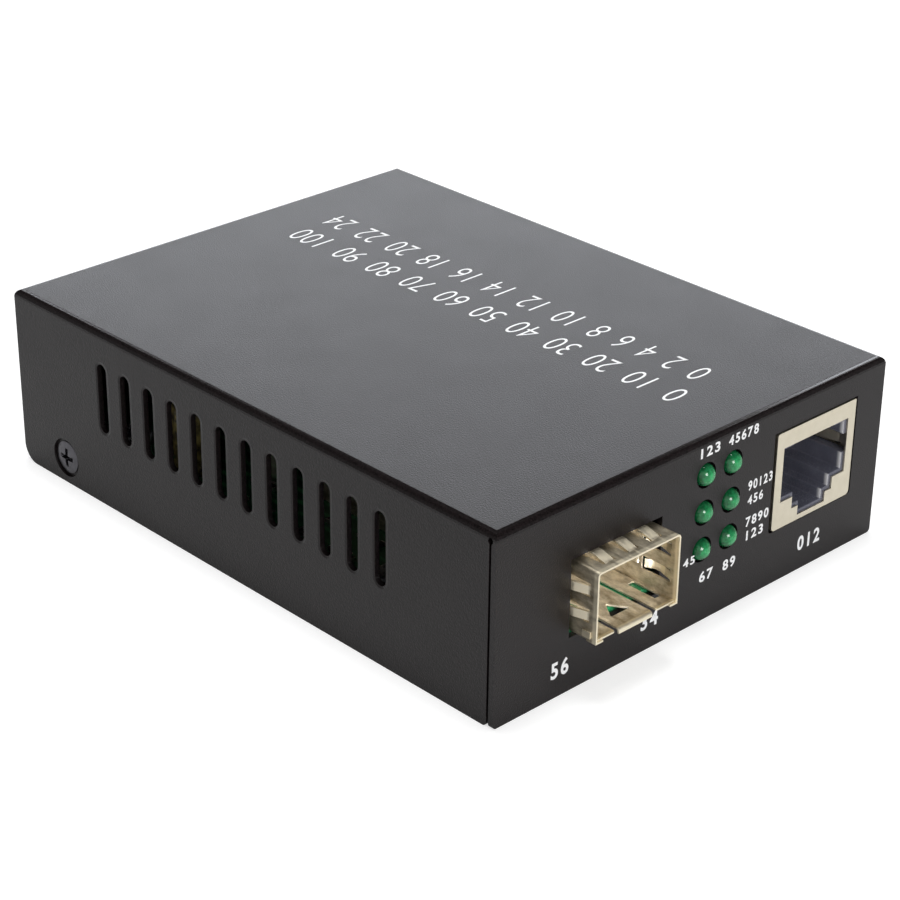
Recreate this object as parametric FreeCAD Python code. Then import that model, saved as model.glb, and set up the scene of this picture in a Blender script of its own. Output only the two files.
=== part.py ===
"""Fibre media converter: a small desktop box that joins a copper network port to an optical slot.

The case is a folded steel cover over a folded steel tray. The tray carries a circuit board with a
network jack, a pluggable-module cage, six indicator lamps, a power inlet and the parts between them.

The origin is the middle of the underside. +Z is up, the port panel faces -Y, and +X is the right
hand side for someone who looks at the ports. Lengths are in millimetres.
"""
import FreeCAD
import Part
import math
import os

V = FreeCAD.Vector
X_AXIS = V(1, 0, 0)
Y_AXIS = V(0, 1, 0)
Z_AXIS = V(0, 0, 1)

# Case
case_width = 71.0
case_depth = 94.0
case_height = 26.0
sheet = 0.8
bend_radius = 1.1
seam_gap = 0.35
seam_relief_radius = 0.4
end_flap_corner = 0.6
side_flap_front_corner = 0.6
side_flap_rear_corner = 2.6
fold_leg = 0.6

# Side vents
slot_count = 12
slot_pitch = 5.0
slot_width = 2.0
slot_length = 10.15
slot_top_inset = 4.7

# Tray
tray_gap = 0.15
tray_bend_radius = 1.2
side_flange_height = 7.2
end_flange_gap = 1.3
flange_relief = 2.6

# Screws that hold the cover to the tray
case_screw_from_rear = 9.9
case_screw_height = 3.8
case_screw_radius = 1.45
case_screw_length = 5.4
screw_head_radius = 2.35
screw_head_crown = 0.22
screw_head_depth = 0.25
screw_well_radius = 2.8
screw_well_depth = 0.45
thread_gap = 0.05
cross_width = 0.62
cross_length = 2.7
cross_depth = 0.75

# Tolerance for picking edges by their place
pick_gap = 0.01

# Circuit board and its supports
standoff_share = 0.618
standoff_radius = 2.75
standoff_foot_radius = 2.1
standoff_inset = 2.9
standoff_front_y = -24.0
standoff_rear_y = 28.0
board_thickness = 1.6
board_corner_radius = 1.0
board_notch_gap = 0.4
board_side_gap = 0.45
board_front_gap = 0.4
board_rear_gap = 2.2
board_hole_radius = 1.6
board_screw_radius = 1.25
board_screw_head_radius = 2.6
board_screw_head_height = 1.9
board_screw_floor = 0.5

# Cage for the pluggable optical module
cage_margin_share = 0.44
cage_width = 14.4
cage_height = 9.45
cage_length = 48.7
cage_sheet = 0.25
cage_bend_radius = 0.55
cage_protrusion = 3.7
cage_lift = 0.15
cage_hole_side_gap = 0.7
cage_hole_top_gap = 0.6
cage_pin_width = 0.8
cage_pin_reach = 0.7
cage_pin_count = 4
cage_pin_hole_radius = 0.52
cage_pin_front_inset = 9.5
cage_pin_rear_inset = 4.7

# Spring fingers round the mouth of the cage
mouth_band = 1.2
finger_length = 4.3
finger_slit = 0.3
finger_seat_gap = 0.05
finger_bend_radius = 1.2
top_finger_count = 3
top_finger_pitch = 4.05
top_finger_width = 1.5
side_finger_count = 2
side_finger_pitch = 3.5
side_finger_width = 1.2
side_finger_lift = 0.25
guide_tab_drop = 1.1
guide_tab_length = 1.6
guide_tab_setback = 0.35
foot_width = 1.3
foot_length = 1.5
lug_length = 1.3
lug_height = 0.9
lug_setback = 0.8
lug_lift = 0.3
lug_thickness = 0.2

# Floor of the cage, with the latch tongue
floor_side_gap = 0.05
floor_front_setback = 0.2
tongue_width = 5.9
tongue_length = 11.0
tongue_slit = 0.7
tongue_lip = 0.75
tongue_lip_radius = 0.5
latch_hole_width = 3.4
latch_hole_length = 2.5
latch_hole_setback = 2.5
latch_hole_corner_radius = 0.15
floor_window_width = 1.1
floor_window_length = 4.6
floor_window_setback = 1.9
floor_window_inset = 1.8
floor_corner_radius = 0.3

# Connector that the module plugs into
host_width = 11.2
host_height = 6.2
host_length = 9.0
host_rear_gap = 3.4
host_slot_width = 9.4
host_slot_height = 1.3
host_slot_level = 3.6
host_slot_depth = 6.4
host_contact_count = 10
host_contact_pitch = 0.8
host_contact_width = 0.32
host_contact_thickness = 0.2
host_tail_length = 1.5
host_edge_chamfer = 0.6

# Network jack
jack_margin_share = 0.194
jack_width = 15.7
jack_height = 13.9
jack_length = 18.4
jack_protrusion = 0.12
jack_sheet = 0.25
jack_corner_radius = 0.6
jack_hole_side_gap = 0.45
jack_hole_end_gap = 0.2
mouth_width = 12.9
mouth_bottom = 3.8
mouth_top = 11.55
latch_step_width = 8.1
latch_step_bottom = 2.1
latch_channel_width = 5.5
latch_channel_bottom = 0.7
insert_gap = 0.05
cavity_margin = 0.45
cavity_depth = 13.0
jack_window_bottom = 6.6
jack_window_height = 2.6
jack_window_length = 7.0
jack_spring_width = 1.9
jack_spring_bow = 0.75
contact_count = 8
contact_pitch = 1.02
contact_width = 0.36
contact_drop = 3.4
contact_reach = 8.0
contact_front_inset = 1.6

# Indicator lamps
lamp_radius = 1.5
lamp_protrusion = 1.0
lamp_length = 5.3
lamp_flange_radius = 1.9
lamp_flange_thickness = 1.0
lamp_hole_gap = 0.25
lamp_column_count = 2
lamp_column_pitch = 5.0
lamp_row_count = 3
lamp_row_pitch = 5.2
lamp_top_drop = 0.9
lamp_bore_gap = 0.06
holder_front_gap = 0.3
holder_margin = 3.0
holder_top_margin = 2.2
holder_wall = 0.8
holder_wall_length = 7.5
lead_size = 0.5
lead_spread = 1.27
lead_step = 1.9

# Power inlet
inlet_x = 20.0
inlet_width = 9.0
inlet_length = 13.6
inlet_height = 11.0
inlet_axis_height = 6.5
inlet_edge_radius = 2.0
inlet_collar_radius = 4.0
inlet_collar_proud = 0.3
inlet_hole_gap = 0.3
inlet_bore_radius = 3.15
inlet_bore_depth = 9.5
inlet_face_gap = 0.2
inlet_pin_radius = 1.0
inlet_pin_length = 8.6
inlet_pin_seat = 2.0
inlet_spring_width = 2.2
inlet_spring_length = 8.0
inlet_spring_thickness = 0.3

# Parts on the board
chip_size = 14.0
chip_thickness = 1.4
chip_chamfer = 0.8
chip_x = 2.6
chip_y = 4.0
sink_size = 19.0
sink_base = 1.6
sink_height = 7.5
sink_fin_count = 7
sink_fin_thickness = 0.9
transformer_width = 15.0
transformer_length = 9.6
transformer_height = 6.4
transformer_chamfer = 0.7
transformer_screw_gap = 1.0
transformer_jack_gap = 5.3
crystal_length = 11.0
crystal_width = 4.6
crystal_height = 3.6
crystal_sink_gap = 1.2
crystal_y = 14.0
left_can_radius = 3.15
left_can_height = 9.5
left_can_inset = 4.7
left_can_y = 16.5
rear_can_radius = 4.0
rear_can_height = 11.5
rear_can_x = 8.0
rear_can_y = 33.0
can_groove_height = 1.6
can_groove_depth = 0.3
can_edge_radius = 0.5
choke_size = 10.0
choke_height = 4.6
choke_corner_radius = 2.0
choke_dish_radius = 3.6
choke_dish_depth = 0.4
choke_x = -6.0
choke_y = 33.0
regulator_width = 6.6
regulator_length = 6.2
regulator_height = 2.3
regulator_tab = 1.2
regulator_x = -18.0
regulator_y = 33.0

# Places worked out from the sizes above
half_width = case_width / 2
half_depth = case_depth / 2
front_y = -half_depth
flap_top = case_height - bend_radius
side_flap_front = front_y + sheet + seam_gap
tray_half_width = half_width - sheet - tray_gap
tray_half_depth = half_depth - sheet - tray_gap
free_height = case_height - 2 * sheet - board_thickness - jack_height
standoff_height = standoff_share * free_height
board_bottom = sheet + standoff_height
board_top = board_bottom + board_thickness
end_flange_height = board_bottom - end_flange_gap
board_screw_reach = standoff_height - board_screw_floor
board_half_width = tray_half_width - sheet - board_side_gap
board_front = front_y + sheet + board_front_gap
board_rear = half_depth - sheet - board_rear_gap
standoff_x = board_half_width - standoff_inset
standoff_places = [(side * standoff_x, y) for y in (standoff_front_y, standoff_rear_y) for side in (-1, 1)]
case_screw_y = half_depth - case_screw_from_rear
case_screw_tip = half_width - screw_head_depth - case_screw_length
slot_centre_z = case_height - slot_top_inset - slot_length / 2
holder_width = (lamp_column_count - 1) * lamp_column_pitch + 2 * holder_margin
free_width = case_width - cage_width - holder_width - jack_width
cage_left = -half_width + cage_margin_share * free_width
cage_x = cage_left + cage_width / 2
cage_right = cage_left + cage_width
cage_bottom = board_top + cage_lift
cage_top = cage_bottom + cage_height
cage_front = front_y - cage_protrusion
cage_rear = cage_front + cage_length
cage_centre_z = (cage_bottom + cage_top) / 2
cage_pin_stretch = cage_length - cage_pin_front_inset - cage_pin_rear_inset
floor_top = cage_bottom + cage_sheet
floor_front = cage_front + floor_front_setback
finger_front = cage_front + mouth_band
host_rear = cage_rear - host_rear_gap
host_front = host_rear - host_length
jack_right = half_width - jack_margin_share * free_width
jack_x = jack_right - jack_width / 2
jack_left = jack_right - jack_width
jack_front = front_y - jack_protrusion
jack_rear = jack_front + jack_length
jack_top = board_top + jack_height
lamp_middle_x = (cage_right + jack_left) / 2
lamp_column_x = [lamp_middle_x + (index - (lamp_column_count - 1) / 2) * lamp_column_pitch
                 for index in range(lamp_column_count)]
lamp_row_z = [jack_top - lamp_top_drop - index * lamp_row_pitch for index in range(lamp_row_count)]
lamp_tip = front_y - lamp_protrusion
lamp_rear = lamp_tip + lamp_length
lamp_flange_front = lamp_rear - lamp_flange_thickness
holder_front = front_y + sheet + holder_front_gap
inlet_rear = half_depth - sheet - inlet_face_gap
inlet_axis_z = board_top + inlet_axis_height
inlet_bore_end = half_depth + inlet_collar_proud - inlet_bore_depth
chip_top = board_top + chip_thickness
transformer_x = standoff_x - board_screw_head_radius - transformer_screw_gap - transformer_width / 2
transformer_y = jack_rear + transformer_jack_gap + transformer_length / 2
crystal_x = chip_x - sink_size / 2 - crystal_sink_gap - crystal_length / 2
left_can_x = left_can_inset - board_half_width


# General helpers
def block(low, high):
    """Box between two corners."""
    return Part.makeBox(high.x - low.x, high.y - low.y, high.z - low.z, low)


def disc(radius, base, axis, length):
    """Cylinder that starts at base and runs along axis."""
    return Part.makeCylinder(radius, length, base, axis)


def cone(start_radius, end_radius, base, axis, length):
    """Cone that starts at base and runs along axis."""
    return Part.makeCone(start_radius, end_radius, length, base, axis)


def join(shapes):
    """One solid from shapes that overlap or share a face."""
    whole = shapes[0]
    if len(shapes) > 1:
        whole = whole.multiFuse(shapes[1:])
    whole = whole.removeSplitter()
    return whole.Solids[0] if len(whole.Solids) == 1 else whole


def cut(shape, tools):
    """The shape with every tool taken out of it."""
    whole = shape.cut(Part.makeCompound(tools)).removeSplitter()
    return whole.Solids[0] if len(whole.Solids) == 1 else whole


def span(middle, side, near, far):
    """Low and high ends of a stretch that runs from near to far on one side of a middle line."""
    return sorted((middle + side * near, middle + side * far))


def rounded_edges(points, radii, closed):
    """Straight edges through the points, with a tangent arc at each point that has a radius."""
    count = len(points)
    entries = []
    arcs = []
    for index, point in enumerate(points):
        inner = closed or 0 < index < count - 1
        if not inner or radii[index] <= 0:
            entries.append((point, point))
            continue
        back = (points[index - 1] - point).normalize()
        ahead = (points[(index + 1) % count] - point).normalize()
        half_angle = back.getAngle(ahead) / 2
        reach = radii[index] / math.tan(half_angle)
        start = point + back * reach
        end = point + ahead * reach
        bisector = (back + ahead).normalize()
        middle = point + bisector * (radii[index] / math.sin(half_angle) - radii[index])
        arcs.append(Part.Arc(start, middle, end).toShape())
        entries.append((start, end))
    edges = list(arcs)
    for index in range(count if closed else count - 1):
        start = entries[index][1]
        end = entries[(index + 1) % count][0]
        if start.distanceToPoint(end) > 1e-6:
            edges.append(Part.makeLine(start, end))
    return edges


def plate(points, radii, run):
    """Flat plate with the given outline, rounded at its corners, pushed along run."""
    edges = rounded_edges(points, radii, True)
    wire = Part.Wire(Part.__sortEdges__(edges))
    return Part.Face(wire).extrude(run)


def folded(points, thickness, radius, run):
    """Folded sheet: points trace one surface, the metal lies to the left of them seen along run."""
    normal = V(run).normalize()
    directions = [(end - start).normalize() for start, end in zip(points, points[1:])]
    lefts = [normal.cross(direction) for direction in directions]
    near_radii = [0.0]
    far_radii = [0.0]
    far = [points[0] + lefts[0] * thickness]
    for index in range(1, len(points) - 1):
        before, after = directions[index - 1], directions[index]
        turns_left = before.cross(after).dot(normal) > 0
        near_radii.append(radius if turns_left else radius - thickness)
        far_radii.append(radius - thickness if turns_left else radius)
        mitre = (lefts[index - 1] + lefts[index]) * (1 / (1 + lefts[index - 1].dot(lefts[index])))
        far.append(points[index] + mitre * thickness)
    near_radii.append(0.0)
    far_radii.append(0.0)
    far.append(points[-1] + lefts[-1] * thickness)
    edges = rounded_edges(points, near_radii, False) + rounded_edges(far, far_radii, False)
    edges.append(Part.makeLine(points[0], far[0]))
    edges.append(Part.makeLine(points[-1], far[-1]))
    wire = Part.Wire(Part.__sortEdges__(edges))
    return Part.Face(wire).extrude(run)


def turned(base, axis, outline):
    """Solid of revolution whose outline starts on the axis with an arc through its first three points.

    Each point is a pair: how far along the axis from base, and how far out from it.
    """
    out = V(0, 0, 1) if abs(axis.z) < 0.5 else V(1, 0, 0)
    start, middle, end = [base + axis * along + out * far for along, far in outline[:3]]
    edges = [Part.Arc(start, middle, end).toShape()]
    corners = [end] + [base + axis * along + out * far for along, far in outline[3:]] + [start]
    edges += [Part.makeLine(first, second) for first, second in zip(corners, corners[1:])]
    return Part.Face(Part.Wire(edges)).revolve(base, axis, 360)


def slab_xz(x0, x1, z0, z1, radii, y, depth):
    """Upright plate across the case; radii run from low left, low right, high right to high left."""
    corners = [V(x0, y, z0), V(x1, y, z0), V(x1, y, z1), V(x0, y, z1)]
    return plate(corners, radii, V(0, depth, 0))


def slab_yz(y0, y1, z0, z1, radii, x, depth):
    """Upright plate along the case; radii run from low front, low rear, high rear to high front."""
    corners = [V(x, y0, z0), V(x, y1, z0), V(x, y1, z1), V(x, y0, z1)]
    return plate(corners, radii, V(depth, 0, 0))


def slab_xy(x0, x1, y0, y1, radii, z, height):
    """Level plate; radii run from front left, front right, rear right to rear left."""
    corners = [V(x0, y0, z), V(x1, y0, z), V(x1, y1, z), V(x0, y1, z)]
    return plate(corners, radii, V(0, 0, height))


# Case
def vent_slots():
    """Tools for the row of upright slots, long enough to open both sides of the case at once."""
    tools = []
    for index in range(slot_count):
        y = (index - (slot_count - 1) / 2) * slot_pitch
        low = slot_centre_z - slot_length / 2
        radii = [slot_width / 2] * 4
        tools.append(slab_yz(y - slot_width / 2, y + slot_width / 2, low, low + slot_length,
                             radii, -half_width - sheet, case_width + 2 * sheet))
    return tools


def panel_cutouts():
    """Tools for the openings in the port panel: cage, network jack and six lamps."""
    start = front_y - sheet
    depth = 3 * sheet
    none = [0, 0, 0, 0]
    tools = [
        slab_xz(cage_left - cage_hole_side_gap, cage_right + cage_hole_side_gap,
                cage_bottom - cage_hole_top_gap, cage_top + cage_hole_top_gap, none, start, depth),
        slab_xz(jack_left - jack_hole_side_gap, jack_right + jack_hole_side_gap,
                board_top - jack_hole_end_gap, jack_top + jack_hole_end_gap,
                [jack_corner_radius, jack_corner_radius, 0, 0], start, depth)]
    for x in lamp_column_x:
        for z in lamp_row_z:
            tools.append(disc(lamp_radius + lamp_hole_gap, V(x, start, z), Y_AXIS, depth))
    return tools


def screw_wells():
    """Tools for the holes of the two side screws: a round well over the conical seat of the head."""
    tools = []
    seat_length = sheet - screw_well_depth
    seat_radius = screw_head_radius + screw_head_depth - screw_well_depth
    for side in (-1, 1):
        mouth = V(side * half_width, case_screw_y, case_screw_height)
        inward = V(-side, 0, 0)
        well = disc(screw_well_radius, mouth, inward, screw_well_depth)
        seat_start = mouth + inward * screw_well_depth
        seat = cone(seat_radius, seat_radius - seat_length, seat_start, inward, seat_length)
        tools.append(well.fuse(seat))
    return tools


def corner_seams():
    """Tools that part the flaps at the four corners, up to a round relief hole under the bend."""
    tools = []
    for side in (-1, 1):
        x0, x1 = span(0, side, half_width - sheet, half_width + sheet)
        tools.append(block(V(x0, front_y + sheet, -sheet), V(x1, side_flap_front, flap_top)))
        relief = V(x0, front_y + sheet + seam_gap / 2, flap_top)
        tools.append(disc(seam_relief_radius, relief, X_AXIS, x1 - x0))
        x0, x1 = span(0, side, half_width - sheet - seam_gap, half_width - sheet)
        tools.append(block(V(x0, half_depth - sheet, -sheet), V(x1, half_depth + sheet, flap_top)))
        relief = V((x0 + x1) / 2, half_depth - sheet, flap_top)
        tools.append(disc(seam_relief_radius, relief, Y_AXIS, 2 * sheet))
    return tools


def rounded_lid(inset, bottom):
    """Solid under the top of the cover, with its four upper edges rounded and mitred at the corners."""
    half_x = half_width - inset
    half_y = half_depth - inset
    top = case_height - inset
    radii = [0, 0, bend_radius - inset, bend_radius - inset]
    across = slab_xz(-half_x, half_x, bottom, top, radii, -half_y, 2 * half_y)
    along = slab_yz(-half_y, half_y, bottom, top, radii, -half_x, 2 * half_x)
    return across.common(along)


def top_cover():
    """Cover folded from one sheet: top, port panel, rear panel and two vented sides."""
    leg_bottom = flap_top - fold_leg
    lid = rounded_lid(0, leg_bottom).cut(rounded_lid(sheet, leg_bottom - sheet))
    end_radii = [end_flap_corner, end_flap_corner, 0, 0]
    side_radii = [side_flap_front_corner, side_flap_rear_corner, 0, 0]
    rear_half = half_width - sheet - seam_gap
    pieces = [lid,
              slab_xz(-half_width, half_width, 0, leg_bottom, end_radii, front_y, sheet),
              slab_xz(-rear_half, rear_half, 0, leg_bottom, end_radii, half_depth - sheet, sheet)]
    for x in (-half_width, half_width - sheet):
        pieces.append(slab_yz(side_flap_front, half_depth, 0, leg_bottom, side_radii, x, sheet))
    inlet_hole = disc(inlet_collar_radius + inlet_hole_gap,
                      V(inlet_x, half_depth - 2 * sheet, inlet_axis_z), Y_AXIS, 3 * sheet)
    cover = cut(join(pieces), corner_seams())
    return cut(cover, vent_slots() + panel_cutouts() + screw_wells() + [inlet_hole])


def tray_screw_holes():
    """Tools for the tapped side holes of the tray, eased to take the cones of the screws."""
    tools = []
    for side in (-1, 1):
        outward_x = side * tray_half_width
        inward = V(-side, 0, 0)
        hole_start = V(outward_x + side * sheet, case_screw_y, case_screw_height)
        tools.append(disc(case_screw_radius + thread_gap, hole_start, inward, 3 * sheet))
        seat = V(outward_x, case_screw_y, case_screw_height)
        seat_radius = screw_head_radius + screw_head_depth - sheet - tray_gap + thread_gap
        depth = seat_radius - case_screw_radius - thread_gap
        tools.append(cone(seat_radius, seat_radius - depth, seat, inward, depth))
    return tools


def base_tray():
    """Shallow tray folded from one sheet, with a flange turned up along each edge."""
    side_half = tray_half_depth - flange_relief
    end_half = tray_half_width - flange_relief
    sides = folded([V(-tray_half_width, side_half, side_flange_height),
                    V(-tray_half_width, side_half, 0),
                    V(tray_half_width, side_half, 0),
                    V(tray_half_width, side_half, side_flange_height)],
                   sheet, tray_bend_radius, V(0, -2 * side_half, 0))
    ends = folded([V(-end_half, -tray_half_depth, end_flange_height),
                   V(-end_half, -tray_half_depth, 0),
                   V(-end_half, tray_half_depth, 0),
                   V(-end_half, tray_half_depth, end_flange_height)],
                  sheet, tray_bend_radius, V(2 * end_half, 0, 0))
    feet = [disc(standoff_foot_radius, V(x, y, 0), Z_AXIS, sheet) for x, y in standoff_places]
    return cut(join([sides, ends]), tray_screw_holes() + feet)


def cross_recess(centre, inward):
    """Tool for a cross-shaped driver recess that sinks from centre along inward."""
    arms = []
    for wide, tall in ((cross_length, cross_width), (cross_width, cross_length)):
        if abs(inward.x) > 0.5:
            low = V(min(0, inward.x * cross_depth), -wide / 2, -tall / 2)
            high = V(max(0, inward.x * cross_depth), wide / 2, tall / 2)
        else:
            low = V(-wide / 2, -tall / 2, min(0, inward.z * cross_depth))
            high = V(wide / 2, tall / 2, max(0, inward.z * cross_depth))
        arms.append(block(centre + low, centre + high))
    return join(arms)


def case_screw(side):
    """Countersunk screw with a low crowned head and a cross recess."""
    inward = V(-side, 0, 0)
    rim = V(side * (half_width - screw_head_depth), case_screw_y, case_screw_height)
    seat_depth = screw_head_radius - case_screw_radius
    crown_radius = (screw_head_radius ** 2 + screw_head_crown ** 2) / (2 * screw_head_crown)
    half_turn = math.asin(screw_head_radius / crown_radius) / 2
    crown_sag = crown_radius * (1 - math.cos(half_turn))
    outline = [(-screw_head_crown, 0),
               (crown_sag - screw_head_crown, crown_radius * math.sin(half_turn)),
               (0, screw_head_radius),
               (seat_depth, case_screw_radius),
               (case_screw_length, case_screw_radius),
               (case_screw_length, 0)]
    recess = cross_recess(rim - inward * screw_head_crown, inward)
    return cut(turned(rim, inward, outline), [recess])


# Board
def pcb_standoffs():
    """Four round pillars pressed into the tray, tapped from above."""
    pillars = []
    for x, y in standoff_places:
        foot = disc(standoff_foot_radius, V(x, y, 0), Z_AXIS, sheet)
        pillar = disc(standoff_radius, V(x, y, sheet), Z_AXIS, standoff_height)
        depth = board_screw_reach
        bore = disc(board_screw_radius + thread_gap, V(x, y, board_bottom - depth), Z_AXIS, depth)
        pillars.append(cut(join([foot, pillar]), [bore]))
    return Part.makeCompound(pillars)


def pcb_screws():
    """Four pan-head screws that clamp the board to its pillars."""
    screws = []
    for x, y in standoff_places:
        head = disc(board_screw_head_radius, V(x, y, board_top), Z_AXIS, board_screw_head_height)
        rim = [edge for edge in head.Edges if edge.BoundBox.ZMin > board_top + thread_gap]
        head = head.makeFillet(board_screw_head_height / 2, [edge for edge in rim if edge.Closed][:1])
        reach = board_screw_reach - 2 * thread_gap
        shank = disc(board_screw_radius, V(x, y, board_bottom - reach), Z_AXIS, reach + board_thickness)
        top = V(x, y, board_top + board_screw_head_height)
        screws.append(cut(join([head, shank]), [cross_recess(top, V(0, 0, -1))]))
    return Part.makeCompound(screws)


def cage_pin_places():
    """Where the press-fit pins of the cage meet the board, down both side walls."""
    places = []
    for x in (cage_left + cage_sheet / 2, cage_right - cage_sheet / 2):
        for index in range(cage_pin_count):
            along = index / (cage_pin_count - 1) * cage_pin_stretch
            places.append((x, cage_front + cage_pin_front_inset + along))
    return places


def pcb():
    """Circuit board, drilled for its screws and the cage's pins, and notched beside the case screws."""
    corners = [board_corner_radius for corner in range(4)]
    board = slab_xy(-board_half_width, board_half_width, board_front, board_rear,
                    corners, board_bottom, board_thickness)
    drills = [disc(board_hole_radius, V(x, y, board_bottom), Z_AXIS, board_thickness)
              for x, y in standoff_places]
    drills += [disc(cage_pin_hole_radius, V(x, y, board_bottom), Z_AXIS, board_thickness)
               for x, y in cage_pin_places()]
    notches = []
    for side in (-1, 1):
        x0, x1 = span(0, side, case_screw_tip - board_notch_gap, half_width)
        half = case_screw_radius + board_notch_gap
        notches.append(block(V(x0, case_screw_y - half, board_bottom), V(x1, case_screw_y + half, board_top)))
    return cut(board, drills + notches)


# Module cage
def finger_seats():
    """Each spring finger of the shell: the middle of its root, its outward way, rise and width."""
    seats = []
    side_rise = cage_hole_side_gap - finger_seat_gap
    top_rise = cage_hole_top_gap - finger_seat_gap
    for index in range(top_finger_count):
        x = cage_x + (index - (top_finger_count - 1) / 2) * top_finger_pitch
        seats.append((V(x, finger_front, cage_top), Z_AXIS, top_rise, top_finger_width))
    for side in (-1, 1):
        for index in range(side_finger_count):
            z = cage_centre_z + side_finger_lift + (index - (side_finger_count - 1) / 2) * side_finger_pitch
            root = V(cage_x + side * cage_width / 2, finger_front, z)
            seats.append((root, V(side, 0, 0), side_rise, side_finger_width))
    return seats


def spring_finger(seat, outward, rise, width):
    """Finger that stays joined at its front end, bows out to touch the panel and dips back in."""
    across = outward.cross(Y_AXIS)
    start = seat - across * (width / 2)
    panel = front_y - seat.y
    path = [start - Y_AXIS * (mouth_band / 2),
            start,
            start + Y_AXIS * (panel - sheet / 2) + outward * rise,
            start + Y_AXIS * (panel + sheet) + outward * rise,
            start + Y_AXIS * finger_length]
    return folded(path, cage_sheet, finger_bend_radius, across * width)


def finger_window(seat, outward, width):
    """Tool that frees a finger from the wall round it."""
    across = outward.cross(Y_AXIS)
    half = width / 2 + finger_slit
    first = seat - across * half - outward * (2 * cage_sheet)
    second = seat + across * half + outward * cage_sheet + Y_AXIS * (finger_length + finger_slit)
    low = V(min(first.x, second.x), min(first.y, second.y), min(first.z, second.z))
    high = V(max(first.x, second.x), max(first.y, second.y), max(first.z, second.z))
    return block(low, high)


def shell_feet():
    """Small ends of the side walls, turned in under the floor at the mouth."""
    feet = []
    half = cage_width / 2
    low_z = cage_bottom - cage_sheet
    for side in (-1, 1):
        x0, x1 = span(cage_x, side, half - foot_width, half)
        feet.append(block(V(x0, cage_front, low_z), V(x1, cage_front + foot_length, cage_bottom)))
        x0, x1 = span(cage_x, side, half - cage_sheet, half)
        feet.append(block(V(x0, cage_front, low_z), V(x1, cage_front + foot_length, floor_top)))
    return feet


def shell_lugs():
    """Flat lugs raised from the side walls near the lower front corners."""
    lugs = []
    y0 = cage_front + lug_setback
    z0 = cage_bottom + lug_lift
    for side in (-1, 1):
        x0, x1 = span(cage_x, side, cage_width / 2 - cage_sheet / 2, cage_width / 2 + lug_thickness)
        lugs.append(block(V(x0, y0, z0), V(x1, y0 + lug_length, z0 + lug_height)))
    return lugs


def guide_tab():
    """Small tab bent down from the roof just inside the mouth, longer at its foot than at its root."""
    left = cage_x - cage_sheet / 2
    tab_front = cage_front + guide_tab_setback
    root_rear = cage_front + mouth_band
    roof = cage_top - cage_sheet / 2
    tab_bottom = cage_top - cage_sheet - guide_tab_drop
    knee = tab_bottom + guide_tab_drop / 2
    profile = [V(left, tab_front, tab_bottom), V(left, tab_front + guide_tab_length, tab_bottom),
               V(left, tab_front + guide_tab_length, knee), V(left, root_rear, knee),
               V(left, root_rear, roof), V(left, tab_front, roof)]
    return plate(profile, [0 for corner in profile], V(cage_sheet, 0, 0))


def sfp_cage_shell():
    """Upper part of the cage: top, side walls and rear wall, with lanced spring fingers."""
    walls = folded([V(cage_left, cage_front, cage_bottom), V(cage_left, cage_front, cage_top),
                    V(cage_right, cage_front, cage_top), V(cage_right, cage_front, cage_bottom)],
                   cage_sheet, cage_bend_radius, V(0, cage_length, 0))
    rear = slab_xz(cage_left + cage_sheet / 2, cage_right - cage_sheet / 2,
                   floor_top, cage_top - cage_sheet / 2, [0, 0, 0, 0],
                   cage_rear - cage_sheet, cage_sheet)
    seats = finger_seats()
    windows = [finger_window(seat, outward, width) for seat, outward, rise, width in seats]
    shell = cut(join([walls, rear]), windows)
    fingers = [spring_finger(*seat) for seat in seats]
    pins = []
    for x, y in cage_pin_places():
        low = V(x - cage_sheet / 2, y - cage_pin_width / 2, board_bottom - cage_pin_reach)
        pins.append(block(low, V(x + cage_sheet / 2, y + cage_pin_width / 2, floor_top)))
    return join([shell, guide_tab()] + fingers + pins + shell_feet() + shell_lugs())


def floor_cuts():
    """Tools for the slits beside the latch tongue, its hole and the windows in the floor."""
    low = cage_bottom - cage_sheet
    height = 3 * cage_sheet
    high = low + height
    tongue_half = tongue_width / 2
    inner = tongue_half + tongue_slit
    front = cage_front - cage_sheet
    window_front = floor_front + floor_window_setback
    corner_y = floor_front + floor_corner_radius
    tools = []
    for side in (-1, 1):
        x0, x1 = span(cage_x, side, tongue_half, inner)
        tools.append(block(V(x0, front, low), V(x1, floor_front + tongue_length, high)))
        window_near = inner + floor_window_inset
        x0, x1 = span(cage_x, side, window_near, window_near + floor_window_width)
        tools.append(block(V(x0, window_front, low), V(x1, window_front + floor_window_length, high)))
        x0, x1 = span(cage_x, side, inner, inner + floor_corner_radius)
        corner = block(V(x0, front, low), V(x1, corner_y, high))
        round_x = cage_x + side * (inner + floor_corner_radius)
        tools.append(corner.cut(disc(floor_corner_radius, V(round_x, corner_y, low), Z_AXIS, height)))
    base_y = floor_front + latch_hole_setback
    corners = [V(cage_x - latch_hole_width / 2, base_y, low), V(cage_x + latch_hole_width / 2, base_y, low),
               V(cage_x, base_y + latch_hole_length, low)]
    radii = [latch_hole_corner_radius for corner in corners]
    tools.append(plate(corners, radii, V(0, 0, height)))
    return tools


def sfp_cage_floor():
    """Floor of the cage, with the sprung latch tongue and its down-turned lip."""
    half = cage_width / 2 - cage_sheet - floor_side_gap
    floor_rear = host_front - 2 * cage_sheet
    floor = slab_xy(cage_x - half, cage_x + half, floor_front, floor_rear, [0, 0, 0, 0],
                    cage_bottom, cage_sheet)
    floor = cut(floor, floor_cuts())
    left = cage_x - tongue_width / 2
    shoulder = floor_front + 2 * tongue_lip_radius
    lip_bottom = floor_top - tongue_lip
    front_trim = block(V(left, cage_front, lip_bottom), V(left + tongue_width, shoulder, cage_top))
    floor = cut(floor, [front_trim])
    lip = folded([V(left, shoulder, floor_top), V(left, floor_front, floor_top),
                  V(left, floor_front, lip_bottom)],
                 cage_sheet, tongue_lip_radius, V(tongue_width, 0, 0))
    return join([floor, lip])


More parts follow.
